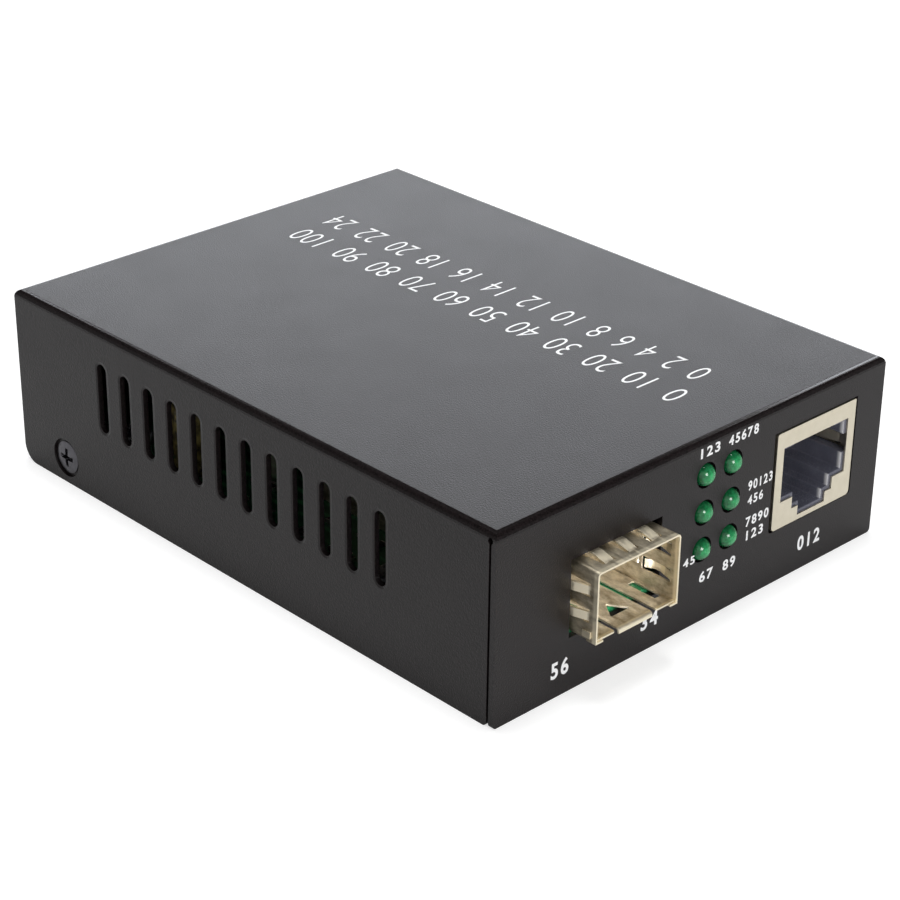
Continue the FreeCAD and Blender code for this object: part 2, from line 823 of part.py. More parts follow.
def sfp_host_connector():
    """Black connector at the inner end of the cage, with the slot for the module's card edge."""
    body = block(V(cage_x - host_width / 2, host_front, board_top),
                 V(cage_x + host_width / 2, host_rear, board_top + host_height))
    slot_z = board_top + host_slot_level
    slot_half = host_slot_width / 2
    card_slot = block(V(cage_x - slot_half, host_front, slot_z - host_slot_height / 2),
                      V(cage_x + slot_half, host_front + host_slot_depth, slot_z + host_slot_height / 2))
    front_edges = [edge for edge in body.Edges if edge.BoundBox.YMax < host_front + pick_gap]
    body = body.makeChamfer(host_edge_chamfer, front_edges)
    return cut(body, [card_slot])


def sfp_contacts():
    """Row of solder tails that come out of the rear of the module connector down to the board."""
    tails = []
    for index in range(host_contact_count):
        x = cage_x + (index - (host_contact_count - 1) / 2) * host_contact_pitch - host_contact_width / 2
        level = board_top + host_contact_pitch
        path = [V(x, host_rear, level),
                V(x, host_rear + host_tail_length / 2, level),
                V(x, host_rear + host_tail_length / 2, board_top + host_contact_thickness),
                V(x, host_rear + host_tail_length, board_top + host_contact_thickness)]
        run = V(-host_contact_width, 0, 0)
        path = [point - run for point in path]
        tails.append(folded(path, host_contact_thickness, host_contact_thickness * 1.25, run))
    return Part.makeCompound(tails)


# Network jack
def mouth_outline(margin, y, depth):
    """Stepped mouth of the jack: the plug's opening over the two steps of the latch channel."""
    levels = [(mouth_width / 2 - margin, mouth_bottom + margin, mouth_top - margin),
              (latch_step_width / 2 - margin, latch_step_bottom + margin, mouth_top - 2 * margin),
              (latch_channel_width / 2 - margin, latch_channel_bottom + margin, mouth_top - 2 * margin)]
    steps = []
    for half, low, high in levels:
        steps.append(block(V(jack_x - half, y, board_top + low),
                           V(jack_x + half, y + depth, board_top + high)))
    return join(steps)


def jack_side_spring(side):
    """Strip lanced from the side of the shield that bows in to press on the plug's shield."""
    inward = V(-side, 0, 0)
    wall_x = jack_x + side * (jack_width / 2)
    centre_z = board_top + jack_window_bottom + jack_window_height / 2
    across = inward.cross(Y_AXIS)
    start = V(wall_x, jack_front + jack_window_length / 4, centre_z) - across * (jack_spring_width / 2)
    start = start + inward * jack_sheet
    path = [start - Y_AXIS * jack_sheet,
            start + Y_AXIS * jack_sheet,
            start + Y_AXIS * (jack_window_length / 2) + inward * jack_spring_bow,
            start + Y_AXIS * (jack_window_length * 0.8) + inward * (jack_spring_bow / 2)]
    return folded(path, jack_sheet, 2 * jack_sheet, across * jack_spring_width)


def rj45_shield():
    """Folded shield of the jack: front face with the stepped mouth, top, sides and rear."""
    corner = [jack_corner_radius, jack_corner_radius, jack_sheet, jack_sheet]
    outer = slab_xz(jack_left, jack_right, board_top, jack_top, corner, jack_front, jack_length)
    inner = block(V(jack_left + jack_sheet, jack_front + jack_sheet, board_top + jack_sheet),
                  V(jack_right - jack_sheet, jack_rear - jack_sheet, jack_top - jack_sheet))
    underside = block(V(jack_left + jack_sheet, jack_front + 6 * jack_sheet, board_top),
                      V(jack_right - jack_sheet, jack_rear - jack_sheet, board_top + jack_sheet))
    mouth = mouth_outline(0, jack_front - jack_sheet, 3 * jack_sheet)
    windows = []
    centre_z = board_top + jack_window_bottom + jack_window_height / 2
    for side in (-1, 1):
        wall = jack_width / 2
        x0, x1 = span(jack_x, side, wall - 2 * jack_sheet, wall + jack_sheet)
        half = jack_spring_width / 2 + jack_sheet
        windows.append(block(V(x0, jack_front + jack_window_length / 4, centre_z - half),
                             V(x1, jack_front + jack_window_length * 1.1, centre_z + half)))
    shell = cut(outer, [inner, underside, mouth] + windows)
    return join([shell, jack_side_spring(-1), jack_side_spring(1)])


def rj45_insert():
    """Moulded body of the jack, with the plug cavity and a window for each side spring."""
    inset = jack_sheet + insert_gap
    body = block(V(jack_left + inset, jack_front + inset, board_top + inset),
                 V(jack_right - inset, jack_rear - inset, jack_top - inset))
    cavity = mouth_outline(cavity_margin, jack_front, cavity_depth)
    comb_half = contact_count * contact_pitch / 2
    comb = block(V(jack_x - comb_half, jack_front, board_top + mouth_top - 2 * cavity_margin),
                 V(jack_x + comb_half, jack_front + cavity_depth, board_top + mouth_top + cavity_margin))
    windows = []
    low_z = board_top + jack_window_bottom
    for side in (-1, 1):
        x0, x1 = span(jack_x, side, mouth_width / 2 - 2 * cavity_margin, jack_width / 2)
        windows.append(block(V(x0, jack_front, low_z),
                             V(x1, jack_front + jack_window_length * 1.2, low_z + jack_window_height)))
    return cut(body, [cavity, comb] + windows)


def rj45_contacts():
    """Eight sprung wires that come in under the roof of the cavity and slope down to the plug."""
    wires = []
    roof = board_top + mouth_top + cavity_margin
    front = jack_front + contact_front_inset
    for index in range(contact_count):
        x = jack_x + (index - (contact_count - 1) / 2) * contact_pitch - contact_width / 2
        path = [V(x, jack_front + cavity_depth, roof),
                V(x, front, roof),
                V(x, front + contact_reach, roof - contact_drop)]
        wires.append(folded(path, contact_width, 1.6 * contact_width, V(contact_width, 0, 0)))
    return Part.makeCompound(wires)


# Lamps
def indicator_lamp(column, row):
    """Round green lamp with a domed tip, a flange and two leads bent down to the board."""
    x = lamp_column_x[column]
    z = lamp_row_z[row]
    dome_centre = V(x, lamp_tip + lamp_radius, z)
    barrel = disc(lamp_radius, dome_centre, Y_AXIS, lamp_rear - dome_centre.y)
    dome = Part.makeSphere(lamp_radius, dome_centre)
    flange = disc(lamp_flange_radius, V(x, lamp_flange_front, z), Y_AXIS, lamp_flange_thickness)
    bend_y = lamp_rear + lead_step * (len(lamp_row_z) - row)
    leads = []
    for side in (-1, 1):
        left = x + side * lead_spread - lead_size / 2
        path = [V(left, lamp_rear - lead_size, z + lead_size / 2),
                V(left, bend_y, z + lead_size / 2),
                V(left, bend_y, board_top)]
        run = V(-lead_size, 0, 0)
        path = [point - run for point in path]
        leads.append(folded(path, lead_size, 2 * lead_size, run))
    return join([barrel, dome, flange] + leads)


def led_holder():
    """Black stand that holds the six lamps behind their holes in the panel."""
    left = min(lamp_column_x) - holder_margin
    right = max(lamp_column_x) + holder_margin
    top = max(lamp_row_z) + holder_top_margin
    face = block(V(left, holder_front, board_top), V(right, lamp_flange_front, top))
    walls = []
    for x in (left, right - holder_wall):
        profile = [V(x, holder_front, board_top), V(x, holder_front + holder_wall_length, board_top),
                   V(x, holder_front + holder_wall_length, board_top + holder_wall),
                   V(x, lamp_flange_front, top)]
        walls.append(plate(profile, [0, 0, 0, 0], V(holder_wall, 0, 0)))
    bores = [disc(lamp_radius + lamp_bore_gap, V(x, front_y, z), Y_AXIS, holder_wall_length)
             for x in lamp_column_x for z in lamp_row_z]
    return cut(join([face] + walls), bores)


# Power inlet
def dc_jack_body():
    """Moulded barrel jack: block on the board, with a round collar that fills the panel's hole."""
    low = V(inlet_x - inlet_width / 2, inlet_rear - inlet_length, board_top)
    high = V(inlet_x + inlet_width / 2, inlet_rear, board_top + inlet_height)
    body = block(low, high)
    top_edges = [edge for edge in body.Edges
                 if edge.BoundBox.ZMin > high.z - pick_gap and edge.BoundBox.YLength > inlet_length / 2]
    body = body.makeFillet(inlet_edge_radius, top_edges)
    collar_length = half_depth + inlet_collar_proud - inlet_rear
    collar = disc(inlet_collar_radius, V(inlet_x, inlet_rear, inlet_axis_z), Y_AXIS, collar_length)
    bore = disc(inlet_bore_radius, V(inlet_x, inlet_bore_end, inlet_axis_z), Y_AXIS, inlet_bore_depth)
    pin_seat = disc(inlet_pin_radius, V(inlet_x, inlet_bore_end - inlet_pin_seat, inlet_axis_z),
                    Y_AXIS, inlet_pin_seat)
    spring_half = inlet_spring_width / 2
    spring_floor = inlet_axis_z - inlet_bore_radius - inlet_spring_thickness
    spring_slot = block(V(inlet_x - spring_half, inlet_bore_end, spring_floor),
                        V(inlet_x + spring_half, inlet_bore_end + inlet_spring_length, inlet_axis_z))
    return cut(join([body, collar]), [bore, pin_seat, spring_slot])


def dc_jack_pin():
    """Centre pin of the power inlet, seated in the rear of the barrel, with a rounded tip."""
    start = inlet_bore_end - inlet_pin_seat
    length = inlet_pin_seat + inlet_pin_length
    pin = disc(inlet_pin_radius, V(inlet_x, start, inlet_axis_z), Y_AXIS, length)
    tip = [edge for edge in pin.Edges if edge.Closed and edge.BoundBox.YMin > start + length - pick_gap]
    return pin.makeFillet(inlet_pin_radius * 0.6, tip)


def dc_jack_spring():
    """Flat spring along the floor of the barrel that touches the outside of the plug."""
    floor_z = inlet_axis_z - inlet_bore_radius - inlet_spring_thickness
    half = inlet_spring_width / 2 - thread_gap
    start = V(inlet_x - half, inlet_bore_end, floor_z)
    path = [start,
            start + V(0, inlet_spring_length * 0.4, 0),
            start + V(0, inlet_spring_length * 0.65, inlet_spring_thickness * 2),
            start + V(0, inlet_spring_length * 0.95, 0)]
    return folded(path, inlet_spring_thickness, 3 * inlet_spring_thickness, V(2 * half, 0, 0))


# Parts between the ports
def line_transformer():
    """Black moulded transformer between the network jack and the converter chip."""
    body = block(V(transformer_x - transformer_width / 2, transformer_y - transformer_length / 2, board_top),
                 V(transformer_x + transformer_width / 2, transformer_y + transformer_length / 2,
                   board_top + transformer_height))
    uprights = [edge for edge in body.Edges if edge.BoundBox.ZLength > transformer_height / 2]
    return body.makeChamfer(transformer_chamfer, uprights)


def converter_chip():
    """Flat square chip under the heat sink."""
    low = V(chip_x - chip_size / 2, chip_y - chip_size / 2, board_top)
    body = block(low, low + V(chip_size, chip_size, chip_thickness))
    uprights = [edge for edge in body.Edges if edge.BoundBox.ZLength > chip_thickness / 2]
    return body.makeChamfer(chip_chamfer, uprights)


def heat_sink():
    """Extruded heat sink with a row of upright fins, stuck on the chip."""
    low = V(chip_x - sink_size / 2, chip_y - sink_size / 2, chip_top)
    pieces = [block(low, low + V(sink_size, sink_size, sink_base))]
    pitch = (sink_size - sink_fin_thickness) / (sink_fin_count - 1)
    for index in range(sink_fin_count):
        start = low + V(index * pitch, 0, 0)
        pieces.append(block(start, start + V(sink_fin_thickness, sink_size, sink_height)))
    return join(pieces)


def crystal():
    """Pressed metal can of the clock crystal, rounded at both ends."""
    radius = crystal_width / 2
    return slab_xy(crystal_x - crystal_length / 2, crystal_x + crystal_length / 2,
                   crystal_y - radius, crystal_y + radius, [radius] * 4, board_top, crystal_height)


def capacitor(x, y, radius, height):
    """Round capacitor can with the crimped groove near its foot."""
    can = disc(radius, V(x, y, board_top), Z_AXIS, height)
    groove = Part.makeTorus(radius + can_groove_depth, 2 * can_groove_depth,
                            V(x, y, board_top + can_groove_height), Z_AXIS)
    rim = [edge for edge in can.Edges if edge.Closed and edge.BoundBox.ZMin > board_top + height - pick_gap]
    can = can.makeFillet(can_edge_radius, rim)
    return cut(can, [groove])


def power_inductor():
    """Shielded power coil: square block with rounded corners and a shallow dish on top."""
    half = choke_size / 2
    body = slab_xy(choke_x - half, choke_x + half, choke_y - half, choke_y + half,
                   [choke_corner_radius for corner in range(4)], board_top, choke_height)
    dish_floor = V(choke_x, choke_y, board_top + choke_height - choke_dish_depth)
    dish = disc(choke_dish_radius, dish_floor, Z_AXIS, choke_dish_depth)
    return cut(body, [dish])


def voltage_regulator():
    """Flat regulator with its cooling tab soldered to the board."""
    body = block(V(regulator_x - regulator_width / 2, regulator_y - regulator_length / 2, board_top),
                 V(regulator_x + regulator_width / 2, regulator_y + regulator_length / 2,
                   board_top + regulator_height))
    tab = block(V(regulator_x - regulator_width / 2, regulator_y + regulator_length / 2, board_top),
                V(regulator_x + regulator_width / 2, regulator_y + regulator_length / 2 + regulator_tab,
                  board_top + regulator_height / 4))
    return join([body, tab])


def all_parts():
    """Every piece of the converter, by name."""
    parts = {
        "top_cover": top_cover(),
        "base_tray": base_tray(),
        "case_screw_left": case_screw(-1),
        "case_screw_right": case_screw(1),
        "pcb": pcb(),
        "pcb_standoffs": pcb_standoffs(),
        "pcb_screws": pcb_screws(),
        "sfp_cage_shell": sfp_cage_shell(),
        "sfp_cage_floor": sfp_cage_floor(),
        "sfp_host_connector": sfp_host_connector(),
        "sfp_contacts": sfp_contacts(),
        "rj45_shield": rj45_shield(),
        "rj45_insert": rj45_insert(),
        "rj45_contacts": rj45_contacts(),
        "led_holder": led_holder(),
        "dc_jack_body": dc_jack_body(),
        "dc_jack_pin": dc_jack_pin(),
        "dc_jack_spring": dc_jack_spring(),
        "line_transformer": line_transformer(),
        "converter_chip": converter_chip(),
        "heat_sink": heat_sink(),
        "crystal": crystal(),
        "capacitor_left": capacitor(left_can_x, left_can_y, left_can_radius, left_can_height),
        "capacitor_rear": capacitor(rear_can_x, rear_can_y, rear_can_radius, rear_can_height),
        "power_inductor": power_inductor(),
        "voltage_regulator": voltage_regulator(),
    }
    for column in range(len(lamp_column_x)):
        for row in range(len(lamp_row_z)):
            number = column * len(lamp_row_z) + row + 1
            parts["indicator_lamp_%d" % number] = indicator_lamp(column, row)
    return parts


def main():
    """Write one STEP file for each piece."""
    os.makedirs("parts", exist_ok=True)
    for name, shape in sorted(all_parts().items()):
        shape.exportStep(os.path.join("parts", name + ".step"))
        box = shape.BoundBox
        print("%-20s solids %d valid %s volume %9.2f  x %7.2f %7.2f  y %7.2f %7.2f  z %6.2f %6.2f" % (
            name, len(shape.Solids), shape.isValid(), shape.Volume,
            box.XMin, box.XMax, box.YMin, box.YMax, box.ZMin, box.ZMax))


main()
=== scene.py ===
# %% [markdown]
# # Fibre media converter
#
# A low black steel box joins a copper network port to an optical slot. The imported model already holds
# every piece at its real size, so this script only adds what the eye needs: rounded sheet edges, wires
# and small board parts, white print, finishes, light and a camera.
#
# Lengths below are written in millimetres and turned to metres by MM, because the frame is in metres.
# +X is to the right of the ports, -Y is towards them, and +Z is up.

# %% Load the frame
import math

import bmesh
import bpy
from mathutils import Matrix, Vector


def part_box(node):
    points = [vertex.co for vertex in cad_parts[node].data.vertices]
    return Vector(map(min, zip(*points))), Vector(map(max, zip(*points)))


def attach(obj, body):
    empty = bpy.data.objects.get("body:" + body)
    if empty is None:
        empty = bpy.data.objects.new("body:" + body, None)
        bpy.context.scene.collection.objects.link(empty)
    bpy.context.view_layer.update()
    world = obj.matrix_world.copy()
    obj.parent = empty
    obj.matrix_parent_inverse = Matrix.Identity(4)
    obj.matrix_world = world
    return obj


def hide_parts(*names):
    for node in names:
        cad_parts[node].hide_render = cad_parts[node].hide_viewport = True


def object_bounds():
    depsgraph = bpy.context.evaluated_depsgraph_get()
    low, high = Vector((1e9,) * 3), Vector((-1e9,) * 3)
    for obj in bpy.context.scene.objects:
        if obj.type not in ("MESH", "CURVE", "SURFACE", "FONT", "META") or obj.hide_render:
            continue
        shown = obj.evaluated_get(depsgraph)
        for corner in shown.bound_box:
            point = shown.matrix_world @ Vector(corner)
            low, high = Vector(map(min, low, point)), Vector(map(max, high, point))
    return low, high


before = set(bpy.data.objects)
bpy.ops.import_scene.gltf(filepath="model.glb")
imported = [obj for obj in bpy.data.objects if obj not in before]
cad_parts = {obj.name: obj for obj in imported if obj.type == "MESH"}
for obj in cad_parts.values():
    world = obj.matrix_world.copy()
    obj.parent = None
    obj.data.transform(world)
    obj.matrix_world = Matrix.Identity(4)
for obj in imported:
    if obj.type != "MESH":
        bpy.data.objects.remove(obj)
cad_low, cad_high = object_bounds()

MM = 0.001
case_low, case_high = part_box("top_cover")
print("nodes", len(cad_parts), "case", [round(v / MM, 2) for v in case_high - case_low])

# %% [markdown]
# ## Camera
#
# The picture was taken from above the left front corner. The place, the direction and the focal length
# were found by fitting a pinhole camera to the seven visible corners of a 71 x 94 x 26 mm box, so they
# are written down as numbers: there is nothing in the model that they could be worked out from. The
# focal length is given in pixels of a 900 pixel frame.

# %% Camera
image_px = 900
sensor_mm = 36
camera_place = Vector((-205.8, -216.4, 159.9)) * MM
camera_yaw = 0.7658
camera_pitch = 0.4738
camera_roll = 0.0114
focal_px = 2455


def camera_axes(yaw, pitch, roll):
    """The camera's right, up and backward directions in the frame."""
    ahead = Vector((math.sin(yaw) * math.cos(pitch), math.cos(yaw) * math.cos(pitch), -math.sin(pitch)))
    level = Vector((math.cos(yaw), -math.sin(yaw), 0))
    over = level.cross(ahead)
    right = level * math.cos(roll) + over * math.sin(roll)
    up = over * math.cos(roll) - level * math.sin(roll)
    return right, up, -ahead


camera = bpy.data.objects.new("camera", bpy.data.cameras.new("camera"))
bpy.context.scene.collection.objects.link(camera)
right, up, back = camera_axes(camera_yaw, camera_pitch, camera_roll)
camera.matrix_world = Matrix.Translation(camera_place) @ Matrix((right, up, back)).transposed().to_4x4()
camera.data.sensor_width = sensor_mm
camera.data.lens = focal_px / image_px * sensor_mm
camera.data.clip_start = 10 * MM
bpy.context.scene.camera = camera
print("lens", round(camera.data.lens, 1), "mm")

# %% [markdown]
# ## Helpers for materials
#
# Colours are given as sRGB hex values, and the shaders want linear light, so one function turns
# them. One more function adds a node, sets its properties and fills or links its inputs. Patterns are
# sized in millimetres: a noise texture shows about one blob per unit, so its scale is one over the size.

# %% Helpers for materials
def linear(hex_colour):
    """An sRGB hex colour as linear red, green, blue and alpha."""
    channels = [int(hex_colour[i:i + 2], 16) / 255 for i in (1, 3, 5)]
    curve = [c / 12.92 if c <= 0.04045 else ((c + 0.055) / 1.055) ** 2.4 for c in channels]
    return (*curve, 1)


def add_node(tree, kind, inputs=None, **settings):
    """Add a node. Settings are its properties; inputs are values or other sockets, by name or number."""
    node = tree.nodes.new(kind)
    for name, value in settings.items():
        setattr(node, name, value)
    for name, value in (inputs or {}).items():
        if isinstance(value, bpy.types.NodeSocket):
            tree.links.new(value, node.inputs[name])
        else:
            node.inputs[name].default_value = value
    return node


def new_finish(name):
    """An empty material with its surface shader and the object's own coordinates."""
    material = bpy.data.materials.new(name)
    material.use_nodes = True
    tree = material.node_tree
    place = add_node(tree, "ShaderNodeTexCoord").outputs["Object"]
    return material, tree, tree.nodes["Principled BSDF"], place


def grain(tree, place, size_mm, detail=2.0, rough=0.5):
    """A noise value whose blobs are about size_mm wide."""
    return add_node(tree, "ShaderNodeTexNoise",
                    {"Vector": place, "Scale": 1 / (size_mm * MM), "Detail": detail,
                     "Roughness": rough}).outputs["Fac"]


def between(tree, noise, low, high):
    """A number that goes from low to high over the range in which most values of a noise lie."""
    least_noise, most_noise = 0.3, 0.7
    return add_node(tree, "ShaderNodeMapRange",
                    {"Value": noise, "From Min": least_noise, "From Max": most_noise,
                     "To Min": low, "To Max": high}).outputs["Result"]


def blended(tree, factor, first, second):
    """A colour between two hex colours."""
    return add_node(tree, "ShaderNodeMix", {0: factor, 6: linear(first), 7: linear(second)},
                    data_type="RGBA").outputs[2]


def stretched(tree, place, factors):
    """Coordinates squeezed along some axes, for marks that run along a sheet."""
    return add_node(tree, "ShaderNodeMapping", {"Vector": place, "Scale": factors}).outputs["Vector"]


def relief(tree, height, depth_mm):
    """A bump that stands depth_mm proud where height is one."""
    return add_node(tree, "ShaderNodeBump", {"Height": height, "Distance": depth_mm * MM}).outputs["Normal"]


def beyond(tree, value, start, reach_mm):
    """Zero up to start and one from reach_mm past it; a negative reach counts the other way."""
    return add_node(tree, "ShaderNodeMapRange",
                    {"Value": value, "From Min": start, "From Max": start + reach_mm * MM},
                    interpolation_type="SMOOTHSTEP").outputs["Result"]


# %% [markdown]
# ## Black powder coat
#
# The case is steel sheet with a baked polyester powder coat. The powder melts into a fine orange peel
# with a grain of about a fifth of a millimetre, so the black sheet glitters grey where it reflects
# the room at a low angle. A noise bump does this best, because the grey isn't in the paint: it comes
# from the light. Real orange peel is one or two hundredths of a millimetre deep. It is deeper here, so
# that it still shows at the size of the picture. A second, wider noise keeps the sheen from being even.
#
# Two places differ. Over the bends the coat was drawn smooth, so it is glossier there and mirrors the
# dark sides of the room sharply. Around every vent slot the powder rolls over the punched edge, and that
# sloping rim catches the floor at a low angle on the side that faces away from the camera. A finish
# can't ask the mesh where its slots are, so the row's sizes are written down once more below.

# %% Black powder coat
def past_bend(tree, place):
    """How far a point lies from the fold between its wall and the top; the case is centred in X and Y."""
    unsigned = add_node(tree, "ShaderNodeVectorMath", {0: place}, operation="ABSOLUTE").outputs[0]
    inward = add_node(tree, "ShaderNodeVectorMath", {0: case_high, 1: unsigned}, operation="SUBTRACT")
    axes = add_node(tree, "ShaderNodeSeparateXYZ", {"Vector": inward.outputs[0]}).outputs
    wall = add_node(tree, "ShaderNodeMath", {0: axes["X"], 1: axes["Y"]}, operation="MINIMUM").outputs[0]
    return add_node(tree, "ShaderNodeMath", {0: wall, 1: axes["Z"]}, operation="MAXIMUM").outputs[0]


def past_slot(tree, place):
    """How far a point of a side wall lies outside the nearest vent slot; the row is centred in Y."""
    slot_count = 12
    pitch, width, length, middle_z = 5.0 * MM, 2.0 * MM, 10.15 * MM, 16.225 * MM
    axes = add_node(tree, "ShaderNodeSeparateXYZ", {"Vector": place}).outputs
    in_pitch = add_node(tree, "ShaderNodeMath", {0: axes["Y"], 1: pitch, 2: 0.0}, operation="WRAP").outputs[0]
    across = add_node(tree, "ShaderNodeMath", {0: in_pitch, 1: pitch / 2}, operation="SUBTRACT").outputs[0]
    rise = add_node(tree, "ShaderNodeMath", {0: axes["Z"], 1: middle_z}, operation="SUBTRACT").outputs[0]
    height = add_node(tree, "ShaderNodeMath", {0: rise}, operation="ABSOLUTE").outputs[0]
    above = add_node(tree, "ShaderNodeMath", {0: height, 1: (length - width) / 2}, operation="SUBTRACT")
    past_end = add_node(tree, "ShaderNodeMath", {0: above.outputs[0], 1: 0.0}, operation="MAXIMUM").outputs[0]
    offset = add_node(tree, "ShaderNodeCombineXYZ", {"X": across, "Y": past_end}).outputs[0]
    far = add_node(tree, "ShaderNodeVectorMath", {0: offset}, operation="LENGTH").outputs["Value"]
    past_edge = add_node(tree, "ShaderNodeMath", {0: far, 1: width / 2}, operation="SUBTRACT").outputs[0]
    along = add_node(tree, "ShaderNodeMath", {0: axes["Y"]}, operation="ABSOLUTE").outputs[0]
    past_row = add_node(tree, "ShaderNodeMath", {0: along, 1: slot_count / 2 * pitch}, operation="SUBTRACT")
    return add_node(tree, "ShaderNodeMath", {0: past_edge, 1: past_row.outputs[0]},
                    operation="MAXIMUM").outputs[0]


def powder_coated_steel():
    """Baked black polyester powder, nearly black, with a fine orange peel."""
    grain_mm = 0.2
    cloud_mm = 7.0
    flat_roughness = (0.37, 0.395)
    peel_depth_mm = 0.045
    rim_mm = 0.4
    rim_depth_mm = 0.13
    bend_mm = 0.85
    bend_blend_mm = 0.2
    bend_roughness = 0.17
    bend_peel_share = 0.35
    material, tree, shader, place = new_finish("powder_coated_steel")
    peel = grain(tree, place, grain_mm, detail=1.0)
    cloud = grain(tree, place, cloud_mm)
    paint = blended(tree, between(tree, peel, 0.0, 1.0), "#070505", "#1d1718")
    tree.links.new(paint, shader.inputs["Base Color"])
    flat = beyond(tree, past_bend(tree, place), bend_mm * MM, bend_blend_mm)
    gloss = add_node(tree, "ShaderNodeMix",
                     {0: flat, 2: bend_roughness, 3: between(tree, cloud, *flat_roughness)})
    tree.links.new(gloss.outputs[0], shader.inputs["Roughness"])
    rim = beyond(tree, past_slot(tree, place), 0.0, rim_mm)
    rim_height_mm = add_node(tree, "ShaderNodeMath", {0: rim, 1: rim_depth_mm}, operation="MULTIPLY")
    depth_mm = add_node(tree, "ShaderNodeMix",
                        {0: flat, 2: bend_peel_share * peel_depth_mm, 3: peel_depth_mm})
    height_mm = add_node(tree, "ShaderNodeMath",
                         {0: peel, 1: depth_mm.outputs[0], 2: rim_height_mm.outputs[0]},
                         operation="MULTIPLY_ADD")
    tree.links.new(relief(tree, height_mm.outputs[0], 1.0), shader.inputs["Normal"])
    shader.inputs["IOR"].default_value = 1.4
    return material


powder = powder_coated_steel()
print("finish", powder.name)

# %% [markdown]
# ## Metals
#
# The jack's shield is nickel plated sheet, a warm and slightly yellow grey. The screws, contacts, cans
# and fins have platings of their own, which differ in colour and in how blurred their reflections are.
# Rolled or drawn metal keeps faint lines along one way, so its noise is stretched that way.

# %% Metals
def plated_metal(name, dark, light, low_rough, high_rough, streak_mm, along):
    """A plated or rolled metal: faint streaks change its gloss, and wider spots change its colour."""
    spot_mm = 3 * streak_mm
    streak_depth_mm = 0.004
    material, tree, shader, place = new_finish(name)
    streaks = grain(tree, stretched(tree, place, along), streak_mm, detail=4.0)
    spots = grain(tree, place, spot_mm)
    tree.links.new(blended(tree, spots, dark, light), shader.inputs["Base Color"])
    tree.links.new(between(tree, streaks, low_rough, high_rough), shader.inputs["Roughness"])
    tree.links.new(relief(tree, streaks, streak_depth_mm), shader.inputs["Normal"])
    shader.inputs["Metallic"].default_value = 1.0
    return material


every_way = (1, 1, 1)
along_y = (1, 0.08, 1)
along_z = (1, 1, 0.08)
nickel = plated_metal("nickel_plated_sheet", "#ddd5c0", "#ebe3cf", 0.32, 0.44, 0.4, every_way)
zinc = plated_metal("zinc_plated_steel", "#a9adb3", "#c5c8cc", 0.25, 0.4, 0.6, every_way)
black_zinc = plated_metal("black_zinc_plated_steel", "#4c4b4e", "#6c6b70", 0.28, 0.4, 0.3, every_way)
gold = plated_metal("gold_plated_bronze", "#d9ab55", "#f0cd7c", 0.18, 0.28, 0.3, every_way)
aluminium = plated_metal("drawn_aluminium", "#b9babd", "#d6d7d9", 0.3, 0.42, 0.3, along_z)
tin = plated_metal("tinned_copper", "#b4b4b2", "#d2d1cd", 0.3, 0.45, 0.2, every_way)
print("metals", [m.name for m in (nickel, zinc, black_zinc, gold, aluminium, tin)])

# %% [markdown]
# ## Plastics, board and lamps
#
# Moulded parts have a spark-eroded texture of about a tenth of a millimetre. The slate insert of the
# network jack gets a painted highlight along its mouth: its faces there that look sideways are coloured
# pale grey in place of the light they catch. The circuit board is glass laminate under green solder mask,
# and the copper tracks below it show as lighter green lines. Each lamp is tinted epoxy: light enters at
# the dome and comes back from the small cup inside, so the middle looks pale and the rim deep green. The
# distance from the lamp's axis is stored on its mesh and read here as an attribute.

# %% Plastics, board and lamps
def moulded_plastic(name, dark, light, rough, mouth_y=None, patch_mm=4.0):
    """Moulded thermoplastic with a fine spark-eroded texture, and a painted highlight on its sideways-facing
    faces at its mouth if it has one.
    """
    texture_mm = 0.12
    texture_depth_mm = 0.008
    mouth_highlight_reach_mm = 0.8
    mouth_highlight_blend_mm = 0.7
    material, tree, shader, place = new_finish(name)
    texture = grain(tree, place, texture_mm)
    flow = between(tree, grain(tree, place, patch_mm), 0.0, 1.0)
    colour = blended(tree, flow, dark, light)
    if mouth_y is not None:
        # Painted highlight: near the mouth, faces that look sideways are coloured pale grey in place of the
        # light they catch.
        depth = add_node(tree, "ShaderNodeSeparateXYZ", {"Vector": place}).outputs["Y"]
        facing = add_node(tree, "ShaderNodeNewGeometry").outputs["Normal"]
        sideways = add_node(tree, "ShaderNodeSeparateXYZ", {"Vector": facing}).outputs["X"]
        flank = add_node(tree, "ShaderNodeMath", {0: sideways, 1: sideways}, operation="MULTIPLY")
        painted_highlight = beyond(tree, depth, mouth_y + mouth_highlight_reach_mm * MM, -mouth_highlight_blend_mm)
        painted_mouth_highlight = add_node(tree, "ShaderNodeMath", {0: painted_highlight, 1: flank.outputs[0]}, operation="MULTIPLY")
        colour = add_node(tree, "ShaderNodeMix", {0: painted_mouth_highlight.outputs[0], 6: colour, 7: linear("#e6e6e8")},
                          data_type="RGBA").outputs[2]
    tree.links.new(colour, shader.inputs["Base Color"])
    tree.links.new(between(tree, texture, rough - 0.05, rough + 0.07), shader.inputs["Roughness"])
    tree.links.new(relief(tree, texture, texture_depth_mm), shader.inputs["Normal"])
    shader.inputs["IOR"].default_value = 1.55
    return material


